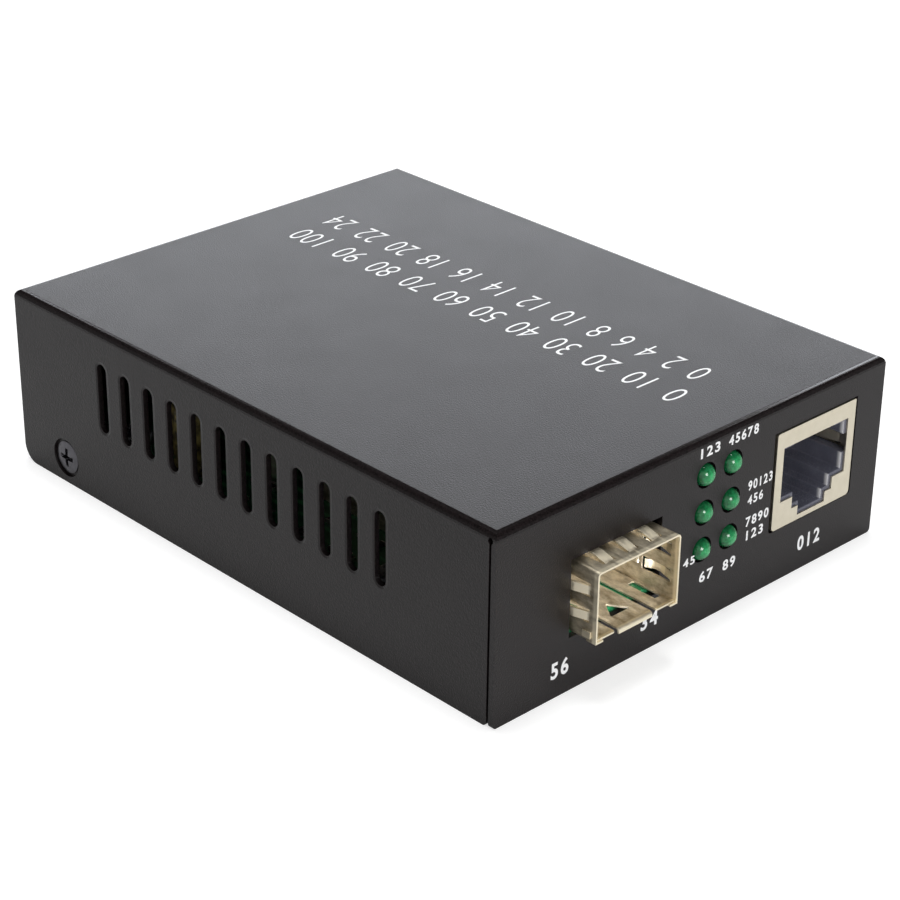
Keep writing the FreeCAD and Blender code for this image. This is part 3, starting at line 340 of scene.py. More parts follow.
def solder_mask():
    """Green solder mask: tracks under it are a lighter green and stand a little proud."""
    track_pitch_mm = 2.17
    wave_pitch = math.pi / 10  # of the wave texture's bands at scale one
    wander_mm = 9.0
    copper_mm = 0.03
    material, tree, shader, place = new_finish("green_solder_mask")
    wander = grain(tree, place, wander_mm)
    lines = add_node(tree, "ShaderNodeTexWave",
                     {"Vector": place, "Scale": wave_pitch / (track_pitch_mm * MM), "Distortion": 1.5,
                      "Detail": 0.0}, wave_type="BANDS", bands_direction="X").outputs["Fac"]
    tracks = add_node(tree, "ShaderNodeMath", {0: lines, 1: wander}, operation="MULTIPLY").outputs[0]
    tree.links.new(blended(tree, between(tree, tracks, 0.0, 1.0), "#1b5a37", "#3d8f5c"),
                   shader.inputs["Base Color"])
    tree.links.new(relief(tree, tracks, copper_mm), shader.inputs["Normal"])
    shader.inputs["Roughness"].default_value = 0.3
    shader.inputs["Coat Weight"].default_value = 0.4
    return material


def tinted_epoxy():
    """Green lamp lens: pale over the cup in its middle, deep green towards its rim."""
    mottle_mm = 0.5
    pale_until, deep_from = 0.55, 1.45
    material, tree, shader, place = new_finish("green_tinted_epoxy")
    far = add_node(tree, "ShaderNodeAttribute", attribute_name="from_axis").outputs["Fac"]
    mottle = grain(tree, place, mottle_mm)
    depth = add_node(tree, "ShaderNodeMath", {0: far, 1: mottle}, operation="ADD").outputs[0]
    ramp = add_node(tree, "ShaderNodeMapRange",
                    {"Value": depth, "From Min": pale_until, "From Max": deep_from}).outputs["Result"]
    tree.links.new(blended(tree, ramp, "#31a564", "#0f5530"), shader.inputs["Base Color"])
    shader.inputs["Roughness"].default_value = 0.09
    shader.inputs["IOR"].default_value = 1.54
    shader.inputs["Subsurface Weight"].default_value = 0.25
    shader.inputs["Subsurface Radius"].default_value = (0.3 * MM, 1.0 * MM, 0.5 * MM)
    shader.inputs["Subsurface Scale"].default_value = 1.0
    return material


def screen_ink():
    """White two-part ink from a screen, slightly uneven where it lies on the powder coat."""
    patch_mm = 0.35
    patch_depth_mm = 0.01
    material, tree, shader, place = new_finish("white_screen_ink")
    patches = grain(tree, place, patch_mm, detail=3.0)
    tree.links.new(blended(tree, patches, "#e3e4e5", "#fbfbfb"), shader.inputs["Base Color"])
    tree.links.new(relief(tree, patches, patch_depth_mm), shader.inputs["Normal"])
    shader.inputs["Roughness"].default_value = 0.55
    return material


black_plastic = moulded_plastic("black_polyamide", "#141415", "#1e1e20", 0.45)
slate_plastic = moulded_plastic("slate_polyester", "#565763", "#656673", 0.24,
                                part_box("rj45_insert")[0].y)
ferrite = moulded_plastic("pressed_ferrite", "#3b3b3d", "#4a4a4c", 0.6)
sleeve = moulded_plastic("printed_vinyl_sleeve", "#0e0c0a", "#9a8c52", 0.35, patch_mm=0.9)
mask = solder_mask()
epoxy = tinted_epoxy()
ink = screen_ink()
print("plastics", [m.name for m in (black_plastic, slate_plastic, ferrite, sleeve, mask, epoxy, ink)])

# %% [markdown]
# ## Turning CAD nodes into dressed pieces
#
# A CAD solid has knife-sharp edges, and real sheet has edges that were rounded by the shear and by the
# paint. A narrow bevel catches a thin line of light there, which is what makes metal look like metal.
# The CAD meshes stay untouched: each is copied, its loose triangles are welded, flat areas are dissolved
# into single faces, and then the bevel is run and frozen. Weighted normals keep the flat faces flat.

# %% Turning CAD nodes into dressed pieces
weld_mm = 0.001
flat_angle = math.radians(0.4)
edge_angle = math.radians(45)
smooth_angle = math.radians(50)


def freeze(piece):
    """Make the result of the modifiers the piece's own mesh, and drop the modifiers."""
    graph = bpy.context.evaluated_depsgraph_get()
    mesh = bpy.data.meshes.new_from_object(piece.evaluated_get(graph), depsgraph=graph)
    piece.modifiers.clear()
    piece.data = mesh
    return piece


def new_piece(name, mesh):
    """A scene object at the origin that holds the mesh."""
    piece = bpy.data.objects.new(name, mesh)
    bpy.context.scene.collection.objects.link(piece)
    return piece


def tie(piece, nodes=()):
    """Tie the piece to the body and hide the CAD nodes it stands for."""
    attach(piece, "root")
    if nodes:
        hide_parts(*nodes)
    return piece


def give(piece, material, nodes=()):
    """Set the finish of the piece and tie it."""
    piece.data.materials.clear()
    piece.data.materials.append(material)
    return tie(piece, nodes)


def welded_copy(node):
    """A copy of a CAD node's mesh with its triangles welded and its flat areas made whole."""
    shape = bmesh.new()
    shape.from_mesh(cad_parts[node].data)
    bmesh.ops.remove_doubles(shape, verts=shape.verts, dist=weld_mm * MM)
    bmesh.ops.dissolve_limit(shape, angle_limit=flat_angle, verts=shape.verts, edges=shape.edges)
    mesh = bpy.data.meshes.new(node + "_dressed")
    shape.to_mesh(mesh)
    shape.free()
    if "custom_normal" in mesh.attributes:
        mesh.attributes.remove(mesh.attributes["custom_normal"])
    return mesh


def weigh_edges(mesh, share_of):
    """Give each sharp edge the share of the bevel's width that share_of says for its two end points."""
    weights = mesh.attributes.new("bevel_weight_edge", "FLOAT", "EDGE")
    shape = bmesh.new()
    shape.from_mesh(mesh)
    for edge in shape.edges:
        if len(edge.link_faces) == 2 and edge.calc_face_angle(0.0) > edge_angle:
            weights.data[edge.index].value = share_of(edge.verts[0].co, edge.verts[1].co)
    shape.free()


def dressed(node, bevel_mm, segments=2, share_of=None, profile=0.5):
    """The CAD node's shape with its sharp edges rounded, each by its own share if share_of is given."""
    piece = new_piece(node + "_dressed", welded_copy(node))
    piece.data.shade_smooth()
    bevel = piece.modifiers.new("rounded edges", "BEVEL")
    bevel.width = bevel_mm * MM
    bevel.segments = segments
    bevel.limit_method = "ANGLE"
    bevel.angle_limit = edge_angle
    bevel.profile = profile
    if share_of:
        weigh_edges(piece.data, share_of)
        bevel.limit_method = "WEIGHT"
    freeze(piece)
    piece.data.shade_smooth()
    piece.data.set_sharp_from_angle(angle=smooth_angle)
    weighted = piece.modifiers.new("flat faces", "WEIGHTED_NORMAL")
    weighted.keep_sharp = True
    return freeze(piece)


# %% [markdown]
# ## Case, cage, jack and inner parts
#
# Every CAD node gets its own dressed piece. The width of the bevel follows how the piece was made:
# punched and painted sheet is soft by about a tenth of a millimetre, thin plated sheet by a few
# hundredths, and mouldings by their usual edge radius.

# %% Case, cage, jack and inner parts
node_finishes = {
    "base_tray": (powder, "black_powder_coat", 0.2),
    "case_screw_left": (black_zinc, "black_screw", 0.05),
    "case_screw_right": (black_zinc, "black_screw", 0.05),
    "pcb": (mask, "green_board", 0.08),
    "pcb_standoffs": (zinc, "zinc_steel", 0.12),
    "pcb_screws": (zinc, "zinc_steel", 0.06),
    "sfp_host_connector": (black_plastic, "black_moulding", 0.1),
    "sfp_contacts": (gold, "gold_contact", 0.03),
    "rj45_insert": (slate_plastic, "slate_moulding", 0.16),
    "led_holder": (black_plastic, "black_moulding", 0.1),
    "dc_jack_body": (black_plastic, "black_moulding", 0.15),
    "dc_jack_pin": (nickel, "nickel_sheet", 0.05),
    "dc_jack_spring": (nickel, "nickel_sheet", 0.04),
    "line_transformer": (black_plastic, "black_moulding", 0.12),
    "converter_chip": (black_plastic, "black_moulding", 0.08),
    "heat_sink": (aluminium, "bare_aluminium", 0.08),
    "crystal": (nickel, "nickel_sheet", 0.15),
    "capacitor_left": (sleeve, "bare_aluminium", 0.1),
    "capacitor_rear": (aluminium, "bare_aluminium", 0.1),
    "power_inductor": (ferrite, "grey_ferrite", 0.15),
    "voltage_regulator": (black_plastic, "black_moulding", 0.1),
}
dressed_pieces = {}
for node, (material, slot, bevel_mm) in node_finishes.items():
    dressed_pieces[node] = give(dressed(node, bevel_mm, segments=3), material, [node])
print("dressed", len(dressed_pieces), "faces", sum(len(p.data.polygons) for p in dressed_pieces.values()))

# %% [markdown]
# ## Cover
#
# The powder rolls over the punched edge of a slot, so the paint slopes into it and that slope catches
# the light of the floor. The slots' outer edges therefore get a wide bevel with a full profile, and the
# sheet's other edges get a narrow one. The slots' edges are the only ones in the middle of the side
# walls, which is how they are found.

# %% Cover
near_mm = 0.02
slot_bevel_mm = 0.38
plain_edge_share = 0.4
slot_profile = 0.72
wall_border_mm = 9.0
wall_top_border_mm = 3.0


def cover_share(first, last):
    """Full bevel on the outer edges of the vent slots, less on all others."""
    for point in (first, last):
        in_wall = (abs(point.x) > case_high.x - near_mm * MM
                   and abs(point.y) < case_high.y - wall_border_mm * MM
                   and case_low.z + wall_border_mm * MM < point.z < case_high.z - wall_top_border_mm * MM)
        if not in_wall:
            return plain_edge_share
    return 1.0


cover = dressed("top_cover", slot_bevel_mm, segments=4, share_of=cover_share, profile=slot_profile)
give(cover, powder, ["top_cover"])
print("cover faces", len(cover.data.polygons))

# %% [markdown]
# ## Module cage
#
# The cage is folded from nickel silver sheet. Its flat walls are dull and a little tarnished. The crowns
# of its spring fingers, its lugs, its rim and the lip of its floor get a painted highlight: they are
# coloured pale cream in place of the light they catch. All of those stand out of the walls' planes or lie
# at the front, so the finish only has to compare the object coordinates with the planes. The planes are
# read off the model: each wall's plane is where the largest face that looks that way lies.

# %% Module cage
cage_edge_mm = 0.05
cage_shell = dressed("sfp_cage_shell", cage_edge_mm, segments=3)
cage_floor = dressed("sfp_cage_floor", cage_edge_mm, segments=3)


def plane_of_wall(mesh, way):
    """How far along the direction way the largest outer face that looks that way lies."""
    same_way = 0.99
    reach = [v.co.dot(way) for v in mesh.vertices]
    middle = (min(reach) + max(reach)) / 2
    faces = [face for face in mesh.polygons
             if face.normal.dot(way) > same_way and face.center.dot(way) > middle]
    return max(faces, key=lambda face: face.area).center.dot(way)


def nickel_silver_with_painted_highlights(mesh):
    """Dull rolled sheet, with a painted highlight where it stands out of the cage's walls and at the front
    rim.
    """
    proud_mm = 0.12
    rim_mm = 0.42
    streak_mm = 0.35
    streak_depth_mm = 0.006
    stain_mm = 0.9
    stain_stretch = (1, 0.5, 1)
    material, tree, shader, place = new_finish("nickel_silver_sheet")
    axes = add_node(tree, "ShaderNodeSeparateXYZ", {"Vector": place}).outputs
    front = min(v.co.y for v in mesh.vertices)
    # Painted highlight: what stands out of the walls' planes and the front rim are coloured pale cream in
    # place of the light they catch.
    edges = [beyond(tree, axes["X"], plane_of_wall(mesh, Vector((1, 0, 0))), proud_mm),
             beyond(tree, axes["X"], -plane_of_wall(mesh, Vector((-1, 0, 0))), -proud_mm),
             beyond(tree, axes["Z"], plane_of_wall(mesh, Vector((0, 0, 1))), proud_mm),
             beyond(tree, axes["Y"], front + 2 * rim_mm * MM, -rim_mm)]
    painted_highlight = edges[0]
    for edge in edges[1:]:
        painted_highlight = add_node(tree, "ShaderNodeMath", {0: painted_highlight, 1: edge}, operation="MAXIMUM").outputs[0]
    streaks = grain(tree, stretched(tree, place, along_y), streak_mm, detail=4.0)
    stains = grain(tree, stretched(tree, place, stain_stretch), stain_mm, detail=5.0, rough=0.65)
    dull = blended(tree, between(tree, stains, 0.0, 1.0), "#9a8e77", "#e6dcc5")
    colour = add_node(tree, "ShaderNodeMix", {0: painted_highlight, 6: dull, 7: linear("#fcf2d9")},
                      data_type="RGBA").outputs[2]
    tree.links.new(colour, shader.inputs["Base Color"])
    tree.links.new(between(tree, streaks, 0.4, 0.6), shader.inputs["Roughness"])
    tree.links.new(relief(tree, streaks, streak_depth_mm), shader.inputs["Normal"])
    shader.inputs["Metallic"].default_value = 1.0
    return material


spring_metal = nickel_silver_with_painted_highlights(cage_shell.data)
give(cage_shell, spring_metal, ["sfp_cage_shell"])
give(cage_floor, spring_metal, ["sfp_cage_floor"])
print("cage faces", len(cage_shell.data.polygons) + len(cage_floor.data.polygons),
      "roof at", round(plane_of_wall(cage_shell.data, Vector((0, 0, 1))) / MM, 2))

# %% [markdown]
# ## Shield of the network jack
#
# The shield is one sheet folded over the jack, so its outer front edges are bends with a real radius,
# while the edges of the mouth were cut and are only a little soft. Bevel weights tell them apart: an
# edge of the front face gets the full width where its other face looks away from the jack's middle.

# %% Shield of the network jack
shield_bend_mm = 0.38
shield_cut_share = 0.3
shield_inner_share = 0.12
shield_low, shield_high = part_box("rj45_shield")
shield_centre = (shield_low + shield_high) / 2
shield_half = (shield_high - shield_low) / 2


def shield_share(first, last):
    """Full bevel on the outer front edges, less on the mouth's cut edges, least on all others."""
    middle = (first + last) / 2 - shield_centre
    if max(first.y, last.y) > shield_low.y + near_mm * MM:
        return shield_inner_share
    at_rim = abs(middle.x) > shield_half.x - near_mm * MM or abs(middle.z) > shield_half.z - near_mm * MM
    return 1.0 if at_rim else shield_cut_share


shield = dressed("rj45_shield", shield_bend_mm, segments=4, share_of=shield_share)
give(shield, nickel, ["rj45_shield"])
print("shield faces", len(shield.data.polygons))

# %% [markdown]
# ## Lamps
#
# A 3 mm lamp is a cast epoxy bullet. The CAD node has its dome, flange and leads, so the copy only needs
# the distance of each point from the lamp's axis, which the epoxy finish turns into colour.

# %% Lamps
lamp_count = 6
lamp_radius_mm = 1.5
lamp_tip_mm = 0.2
lamp_edge_mm = 0.04


def store_distance(mesh, centre_x, centre_z, radius):
    """Write each point's distance from the lamp's axis, as a share of its radius."""
    distance = mesh.attributes.new("from_axis", "FLOAT", "POINT")
    for vertex in mesh.vertices:
        across = math.hypot(vertex.co.x - centre_x, vertex.co.z - centre_z)
        distance.data[vertex.index].value = min(across / radius, 1.0)


for number in range(1, lamp_count + 1):
    node = "indicator_lamp_%d" % number
    lamp = dressed(node, lamp_edge_mm)
    low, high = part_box(node)
    tip = [v.co for v in lamp.data.vertices if v.co.y < low.y + lamp_tip_mm * MM]
    centre = sum(tip, Vector()) / len(tip)
    store_distance(lamp.data, (low.x + high.x) / 2, centre.z, lamp_radius_mm * MM)
    give(lamp, epoxy, [node])
print("lamps", lamp_count)

# %% [markdown]
# ## Geometry Nodes for what repeats
#
# The eight contact wires, the plated holes of the board and its small chip parts are all copies of
# one shape at regular places. A node tree states that rule once, and its named inputs hold the sizes.
# The result is frozen into a plain mesh, because instances don't survive the export.

# %% Geometry Nodes helpers
def new_tree(name, inputs):
    """A geometry node tree with the named inputs; returns it with its input sockets and its end."""
    tree = bpy.data.node_groups.new(name, "GeometryNodeTree")
    for label, kind in inputs.items():
        tree.interface.new_socket(label, in_out="INPUT", socket_type=kind)
    tree.interface.new_socket("Geometry", in_out="OUTPUT", socket_type="NodeSocketGeometry")
    start = tree.nodes.new("NodeGroupInput").outputs
    end = tree.nodes.new("NodeGroupOutput").inputs
    return tree, start, end


def end_tree(tree, end, *finished):
    """Turn each group of instances into real geometry with its material, and send all of it out."""
    joined = add_node(tree, "GeometryNodeJoinGeometry")
    for instances, material in finished:
        real = add_node(tree, "GeometryNodeRealizeInstances", {"Geometry": instances})
        coat = add_node(tree, "GeometryNodeSetMaterial",
                        {"Geometry": real.outputs["Geometry"], "Material": material})
        tree.links.new(coat.outputs["Geometry"], joined.inputs["Geometry"])
    tree.links.new(joined.outputs["Geometry"], end["Geometry"])


def grown(name, tree, values):
    """A piece made by the tree with these input values, as a plain mesh."""
    piece = new_piece(name, bpy.data.meshes.new(name))
    maker = piece.modifiers.new("maker", "NODES")
    maker.node_group = tree
    for item in tree.interface.items_tree:
        if item.in_out == "INPUT" and item.name in values:
            maker[item.identifier] = values[item.name]
    return freeze(piece)


# %% [markdown]
# ## Contact wires of the network jack
#
# Each wire is gold plated bronze, 0.4 mm thick. It comes in under the roof of the plug's cavity, turns
# back near the mouth and slopes down, so that the plug presses it up. One Bezier segment with long
# handles gives that hairpin, a circle swept along it gives the wire, and a row of points repeats it.

# %% Contact wires of the network jack
def wire_row_tree():
    """Tree that sweeps one hairpin wire and repeats it in a row."""
    tree, start, end = new_tree("wire_row", {
        "Roof end": "NodeSocketVector", "Roof handle": "NodeSocketVector",
        "Slope handle": "NodeSocketVector", "Slope end": "NodeSocketVector",
        "Wire radius": "NodeSocketFloat", "Count": "NodeSocketInt", "Step": "NodeSocketVector"})
    hairpin = add_node(tree, "GeometryNodeCurvePrimitiveBezierSegment",
                       {"Resolution": 20, "Start": start["Roof end"], "Start Handle": start["Roof handle"],
                        "End Handle": start["Slope handle"], "End": start["Slope end"]})
    ring = add_node(tree, "GeometryNodeCurvePrimitiveCircle",
                    {"Resolution": 10, "Radius": start["Wire radius"]})
    wire = add_node(tree, "GeometryNodeCurveToMesh",
                    {"Curve": hairpin.outputs["Curve"], "Profile Curve": ring.outputs["Curve"],
                     "Fill Caps": True})
    row = add_node(tree, "GeometryNodeMeshLine", {"Count": start["Count"], "Offset": start["Step"]})
    copies = add_node(tree, "GeometryNodeInstanceOnPoints",
                      {"Points": row.outputs["Mesh"], "Instance": wire.outputs["Mesh"]})
    end_tree(tree, end, (copies.outputs["Instances"], gold))
    return tree


wire_low, wire_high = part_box("rj45_contacts")
wire_radius = 0.19 * MM
wire_count = 8
wire_step = (wire_high.x - wire_low.x - 2 * wire_radius) / (wire_count - 1)
first_x = wire_low.x + wire_radius
roof_z = wire_high.z - wire_radius
wires = grown("rj45_contact_wires", wire_row_tree(), {
    "Roof end": (first_x, wire_high.y, roof_z),
    "Roof handle": (first_x, wire_low.y - 3.2 * MM, roof_z + 0.1 * MM),
    "Slope handle": (first_x, wire_low.y + 0.2 * MM, roof_z - 0.7 * MM),
    "Slope end": (first_x, wire_high.y - 1.5 * MM, wire_low.z + wire_radius),
    "Wire radius": wire_radius,
    "Count": wire_count,
    "Step": (wire_step, 0, 0)})
wires.data.shade_smooth()
tie(wires, ["rj45_contacts"])
print("wires", wire_count, "pitch", round(wire_step / MM, 3), "mm")

# %% [markdown]
# ## Small parts of the board
#
# Chip resistors with tinned ends and plated holes cover the free areas of a real board. They can be
# seen through the vents and through the slits in the cage floor. A grid of points with some of them
# taken away at random, from a fixed seed, looks like a real layout without a list of places.

# %% Small parts of the board
def scatter(tree, start):
    """Grid points of the given size and step, some of them dropped at random."""
    columns = add_node(tree, "ShaderNodeMath", {0: start["Width"], 1: start["Step"]}, operation="DIVIDE")
    rows = add_node(tree, "ShaderNodeMath", {0: start["Length"], 1: start["Step"]}, operation="DIVIDE")
    grid = add_node(tree, "GeometryNodeMeshGrid",
                    {"Size X": start["Width"], "Size Y": start["Length"],
                     "Vertices X": columns.outputs[0], "Vertices Y": rows.outputs[0]})
    centred = add_node(tree, "GeometryNodeTransform",
                       {"Geometry": grid.outputs["Mesh"], "Translation": start["Centre"]})
    chance = add_node(tree, "FunctionNodeRandomValue",
                      {"Probability": start["Dropped share"], "Seed": start["Seed"]}, data_type="BOOLEAN")
    dropped = add_node(tree, "GeometryNodeDeleteGeometry",
                       {"Geometry": centred.outputs["Geometry"], "Selection": chance.outputs[3]},
                       domain="POINT")
    return dropped.outputs["Geometry"]


scatter_inputs = {
    "Centre": "NodeSocketVector", "Width": "NodeSocketFloat", "Length": "NodeSocketFloat",
    "Step": "NodeSocketFloat", "Dropped share": "NodeSocketFloat", "Seed": "NodeSocketInt"}


def plated_hole_tree():
    """Tree that sets small tinned rings on the board."""
    tree, start, end = new_tree("plated_holes", {**scatter_inputs, "Radius": "NodeSocketFloat",
                                                 "Thickness": "NodeSocketFloat"})
    ring = add_node(tree, "GeometryNodeMeshCylinder",
                    {"Vertices": 10, "Radius": start["Radius"], "Depth": start["Thickness"]})
    copies = add_node(tree, "GeometryNodeInstanceOnPoints",
                      {"Points": scatter(tree, start), "Instance": ring.outputs["Mesh"]})
    end_tree(tree, end, (copies.outputs["Instances"], tin))
    return tree


def chip_part_tree():
    """Tree that sets chip resistors on the board: a black body between two tinned ends."""
    tree, start, end = new_tree("chip_parts", {**scatter_inputs, "Body": "NodeSocketVector",
                                               "Ends": "NodeSocketVector"})
    body = add_node(tree, "GeometryNodeMeshCube", {"Size": start["Body"]})
    ends = add_node(tree, "GeometryNodeMeshCube", {"Size": start["Ends"]})
    quarter = add_node(tree, "FunctionNodeRandomValue", {"Min": 0, "Max": 1, "Seed": start["Seed"]},
                       data_type="INT")
    angle = add_node(tree, "ShaderNodeMath", {0: quarter.outputs[2], 1: math.pi / 2}, operation="MULTIPLY")
    turn = add_node(tree, "ShaderNodeCombineXYZ", {"Z": angle.outputs[0]})
    spots = scatter(tree, start)
    finished = []
    for block, material in ((body, black_plastic), (ends, tin)):
        copies = add_node(tree, "GeometryNodeInstanceOnPoints",
                          {"Points": spots, "Instance": block.outputs["Mesh"],
                           "Rotation": turn.outputs["Vector"]})
        finished.append((copies.outputs["Instances"], material))
    end_tree(tree, end, *finished)
    return tree


board_low, board_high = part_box("pcb")
board_top = board_high.z
hole_tree = plated_hole_tree()
chip_tree = chip_part_tree()
spot_step = 2.5 * MM
chip_middle = 0.27 * MM
chip_body = (1.1 * MM, 0.8 * MM, 0.5 * MM)
chip_ends = (1.6 * MM, 0.78 * MM, 0.48 * MM)
hole_shift = 1.2 * MM
left_strip = (board_low.x + 5.5 * MM, -4 * MM)
right_field = (20 * MM, 8 * MM)
fields = {"left": (left_strip, 5 * MM, 24 * MM, 7), "right": (right_field, 10 * MM, 30 * MM, 11)}
for side, ((x, y), width, length, seed) in fields.items():
    chips = grown("chip_parts_" + side, chip_tree, {
        "Centre": (x, y, board_top + chip_middle), "Width": width, "Length": length, "Step": spot_step,
        "Dropped share": 0.45, "Seed": seed, "Body": chip_body, "Ends": chip_ends})
    tie(chips)
    holes = grown("plated_holes_" + side, hole_tree, {
        "Centre": (x + hole_shift, y + hole_shift, board_top), "Width": width, "Length": length,
        "Step": spot_step, "Dropped share": 0.5, "Seed": seed + 1, "Radius": 0.35 * MM,
        "Thickness": 0.06 * MM})
    tie(holes)
    print(side, "chip faces", len(chips.data.polygons), "hole faces", len(holes.data.polygons))

# %% [markdown]
# ## White print
#
# The case carries screen printed marks. Their words aren't repeated here: plain numbers, like those on
# a scale, stand at the same places and sizes. Each digit is made once from Blender's own font, flattened
# to a mesh, squeezed to the pitch of the line and set down a hundredth of a millimetre above the paint,
# because the ink is a real layer.

# %% White print
ink_height = 0.01 * MM
width_share = 0.78  # how much of the line's pitch a zero fills
glyphs = {}


def glyph(character, boldness):
    """One character as a flat mesh whose outline is boldness wider, with its width and height."""
    key = (character, boldness)
    if key not in glyphs:
        curve = bpy.data.curves.new("glyph", "FONT")
        curve.body = character
        curve.offset = boldness
        curve.resolution_u = 6
        holder = new_piece("glyph", curve)
        graph = bpy.context.evaluated_depsgraph_get()
        mesh = bpy.data.meshes.new_from_object(holder.evaluated_get(graph), depsgraph=graph)
        bpy.data.objects.remove(holder)
        points = [v.co.copy() for v in mesh.vertices]
        low = Vector((min(p.x for p in points), min(p.y for p in points), 0))
        high = Vector((max(p.x for p in points), max(p.y for p in points), 0))
        faces = [tuple(face.vertices) for face in mesh.polygons]
        glyphs[key] = ([p - low for p in points], faces, high - low)
    return glyphs[key]


def print_line(points, faces, words, start, across, upward, height, pitch, boldness):
    """Add a run of characters of one height and pitch, starting at start and reading along across."""
    outward = across.cross(upward)
    for index, character in enumerate(words):
        if character == " ":
            continue
        shape, outline_faces, size = glyph(character, boldness)
        zero_size = glyph("0", boldness)[2]
        squeeze = width_share * pitch / zero_size.x
        lift = height / zero_size.y
        left = (pitch - size.x * squeeze) / 2
        first = len(points)
        for point in shape:
            place = across * (index * pitch + left + point.x * squeeze) + upward * (point.y * lift)
            points.append(start + place + outward * ink_height)
        faces.extend(tuple(first + i for i in face) for face in outline_faces)


def print_piece(name, lines, across, upward):
    """One printed layer from several lines of (words, start, height, pitch, boldness)."""
    points = []
    faces = []
    for words, start, height, pitch, boldness in lines:
        print_line(points, faces, words, Vector(start) * MM, across, upward,
                   height * MM, pitch * MM, boldness)
    mesh = bpy.data.meshes.new(name)
    mesh.from_pydata(points, [], faces)
    give(new_piece(name, mesh), ink)


top_z = case_high.z / MM
front_y = case_low.y / MM
left_x = case_low.x / MM
thin = -0.012
bold = 0.03
top_lines = [
    ("0 10 20 30 40 50 60 70 80 90 100", (left_x + 44.0, front_y + 9.6, top_z), 4.2, 2.32, thin),
    ("0 2 4 6 8 10 12 14 16 18 20 22 24", (left_x + 51.0, front_y + 11.8, top_z), 4.2, 2.2, thin),
]
print_piece("top_print", top_lines, Vector((0, 1, 0)), Vector((-1, 0, 0)))
front_lines = [
    ("123", (left_x + 34.2, front_y, 23.5), 1.4, 1.45, bold),
    ("45678", (left_x + 39.8, front_y, 23.5), 1.4, 1.18, bold),
    ("90123", (left_x + 44.2, front_y, 15.65), 1.4, 1.0, bold),
    ("456", (left_x + 44.3, front_y, 13.6), 1.35, 1.08, bold),
    ("7890", (left_x + 44.2, front_y, 10.5), 1.4, 1.18, bold),
    ("123", (left_x + 44.1, front_y, 8.5), 1.4, 1.34, bold),
    ("45", (left_x + 32.5, front_y, 9.05), 1.2, 1.25, bold),
    ("67", (left_x + 35.7, front_y, 5.7), 1.5, 1.45, bold),
    ("89", (left_x + 40.2, front_y, 5.7), 1.5, 1.35, bold),
    ("012", (left_x + 55.2, front_y, 2.8), 2.15, 1.65, bold),
    ("34", (left_x + 25.0, front_y, 3.0), 2.2, 1.8, bold),
    ("56", (left_x + 9.3, front_y, 2.7), 2.3, 1.75, bold),
]
print_piece("front_print", front_lines, Vector((1, 0, 0)), Vector((0, 0, 1)))
print("print lines", len(top_lines) + len(front_lines))

# %% [markdown]
# ## Floor, room and light
#
# The case stands on a white sweep. The floor is a real diffuse surface that takes a shadow, and Light
# Path adds the rest of its white only for what the camera and the reflections see, so it never lights
# the case. The room is the same: the camera sees it white, and reflections see it white ahead of the
# camera and behind it, dim overhead and at both sides, as in a studio with black flags, and a little
# lighter low down and at the horizon. Whether a direction is ahead or behind is told by its cosine to
# the camera's heading. The bends between top and sides mirror those sides, which is why they look black.
# A low lamp at the back is what the top mirrors, so its sheen grows to the back. The light that the
# bright room in front sends into the module cage comes from a lamp as small as its mouth, because a
# whole bright room there would also wash out the panel.

# %% Floor, room and light
def seen_rays(tree):
    """Two values that are one for a ray from the camera, and for one from a reflection."""
    path = add_node(tree, "ShaderNodeLightPath").outputs
    shiny = add_node(tree, "ShaderNodeMath",
                     {0: path["Is Glossy Ray"], 1: path["Is Transmission Ray"]}, operation="MAXIMUM")
    return path["Is Camera Ray"], shiny.outputs[0]


def white_sweep():
    """Matt white floor with the rest of its white added for the eye alone."""
    reflected_white = 0.19
    seen_white = 0.6
    material = bpy.data.materials.new("white_sweep")
    material.use_nodes = True
    tree = material.node_tree
    tree.nodes.clear()
    camera_ray, shiny_ray = seen_rays(tree)
    matt = add_node(tree, "ShaderNodeBsdfDiffuse", {"Color": linear("#c8c8c8")})
    reflected = add_node(tree, "ShaderNodeMath", {0: shiny_ray, 1: reflected_white}, operation="MULTIPLY")
    strength = add_node(tree, "ShaderNodeMix", {0: camera_ray, 2: reflected.outputs[0], 3: seen_white})
    glow = add_node(tree, "ShaderNodeEmission", {"Color": (1, 1, 1, 1), "Strength": strength.outputs[0]})
    both = add_node(tree, "ShaderNodeAddShader", {0: matt.outputs[0], 1: glow.outputs[0]})
    add_node(tree, "ShaderNodeOutputMaterial", {"Surface": both.outputs[0]})
    return material


floor_half = 3.0
floor_mesh = bpy.data.meshes.new("floor")
corners = [(x, y, cad_low.z) for x, y in ((-floor_half, -floor_half), (floor_half, -floor_half),
                                          (floor_half, floor_half), (-floor_half, floor_half))]
floor_mesh.from_pydata(corners, [], [(0, 1, 2, 3)])
floor = new_piece("floor", floor_mesh)
floor.data.materials.append(white_sweep())

world = bpy.data.worlds.new("room")
bpy.context.scene.world = world
world.use_nodes = True
room = world.node_tree
room.nodes.clear()
ambient = 0.45
dim = 0.07
low_side = 0.22
behind_white = 0.8
horizon_white = 0.5
ahead_from, ahead_full = 0.72, 0.88
behind_from, behind_full = -0.5, -0.85
flags_from, flags_full = 0.38, 0.55
horizon_top = 0.06
toward = add_node(room, "ShaderNodeTexCoord").outputs["Generated"]
heading = (math.sin(camera_yaw), math.cos(camera_yaw), 0)
along = add_node(room, "ShaderNodeVectorMath", {0: toward, 1: heading}, operation="DOT_PRODUCT")
ahead = add_node(room, "ShaderNodeMapRange",
                 {"Value": along.outputs["Value"], "From Min": ahead_from, "From Max": ahead_full,
                  "To Min": 0.0, "To Max": 1.0}, interpolation_type="SMOOTHSTEP")
behind = add_node(room, "ShaderNodeMapRange",
                  {"Value": along.outputs["Value"], "From Min": behind_from, "From Max": behind_full,
                   "To Min": 0.0, "To Max": behind_white}, interpolation_type="SMOOTHSTEP")
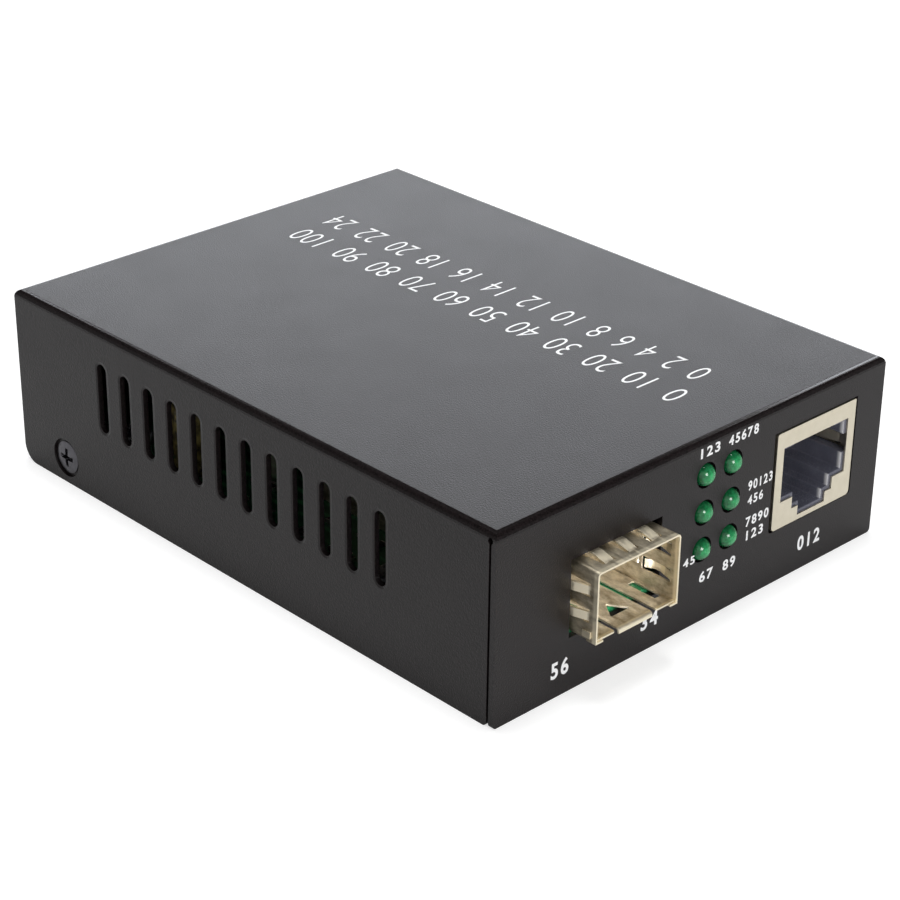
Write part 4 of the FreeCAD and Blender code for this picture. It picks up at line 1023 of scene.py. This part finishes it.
open_ways = add_node(room, "ShaderNodeMath",
                     {0: ahead.outputs["Result"], 1: behind.outputs["Result"]}, operation="MAXIMUM")
rise = add_node(room, "ShaderNodeSeparateXYZ", {"Vector": toward}).outputs["Z"]
flags = add_node(room, "ShaderNodeMapRange",
                 {"Value": rise, "From Min": flags_from, "From Max": flags_full,
                  "To Min": low_side, "To Max": dim}, interpolation_type="SMOOTHSTEP")
horizon = add_node(room, "ShaderNodeMapRange",
                   {"Value": rise, "From Min": 0.0, "From Max": horizon_top,
                    "To Min": horizon_white, "To Max": 0.0}, interpolation_type="SMOOTHSTEP")
sides = add_node(room, "ShaderNodeMath",
                 {0: flags.outputs["Result"], 1: horizon.outputs["Result"]}, operation="MAXIMUM")
mirrored = add_node(room, "ShaderNodeMath",
                    {0: open_ways.outputs[0], 1: sides.outputs[0]}, operation="MAXIMUM")
camera_ray, shiny_ray = seen_rays(room)
shiny_light = add_node(room, "ShaderNodeMix", {0: shiny_ray, 2: ambient, 3: mirrored.outputs[0]})
light = add_node(room, "ShaderNodeMix", {0: camera_ray, 2: shiny_light.outputs[0], 3: 1.0})
sky = add_node(room, "ShaderNodeBackground", {"Color": (1, 1, 1, 1), "Strength": light.outputs[0]})
add_node(room, "ShaderNodeOutputWorld", {"Surface": sky.outputs[0]})


def soft_box(name, place_mm, size_mm, watts, tint="#ffffff", at_node="top_cover", spread_degrees=180):
    """A rectangular area lamp, size_mm wide and high, that points at the middle of a node."""
    lamp = bpy.data.lights.new(name, "AREA")
    lamp.shape = "RECTANGLE"
    lamp.size, lamp.size_y = (side * MM for side in size_mm)
    lamp.energy = watts
    lamp.color = linear(tint)[:3]
    lamp.spread = math.radians(spread_degrees)
    holder = bpy.data.objects.new(name, lamp)
    bpy.context.scene.collection.objects.link(holder)
    place = Vector(place_mm) * MM
    low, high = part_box(at_node)
    turn = (place - (low + high) / 2).to_track_quat("Z", "Y")
    holder.matrix_world = Matrix.Translation(place) @ turn.to_matrix().to_4x4()


soft_box("key_light", (20, 30, 760), (190, 190), 3.0)
soft_box("back_light", (500, 520, 230), (700, 240), 1.4, "#f0f5ff")
soft_box("catch_light", (-190, -680, 230), (260, 260), 2.5)
soft_box("mouth_light", (-15.1, -50.5, 12.8), (12, 8), 0.0045, "#f4f5fa", "sfp_cage_shell", 90)
bpy.context.scene.view_settings.view_transform = "Standard"
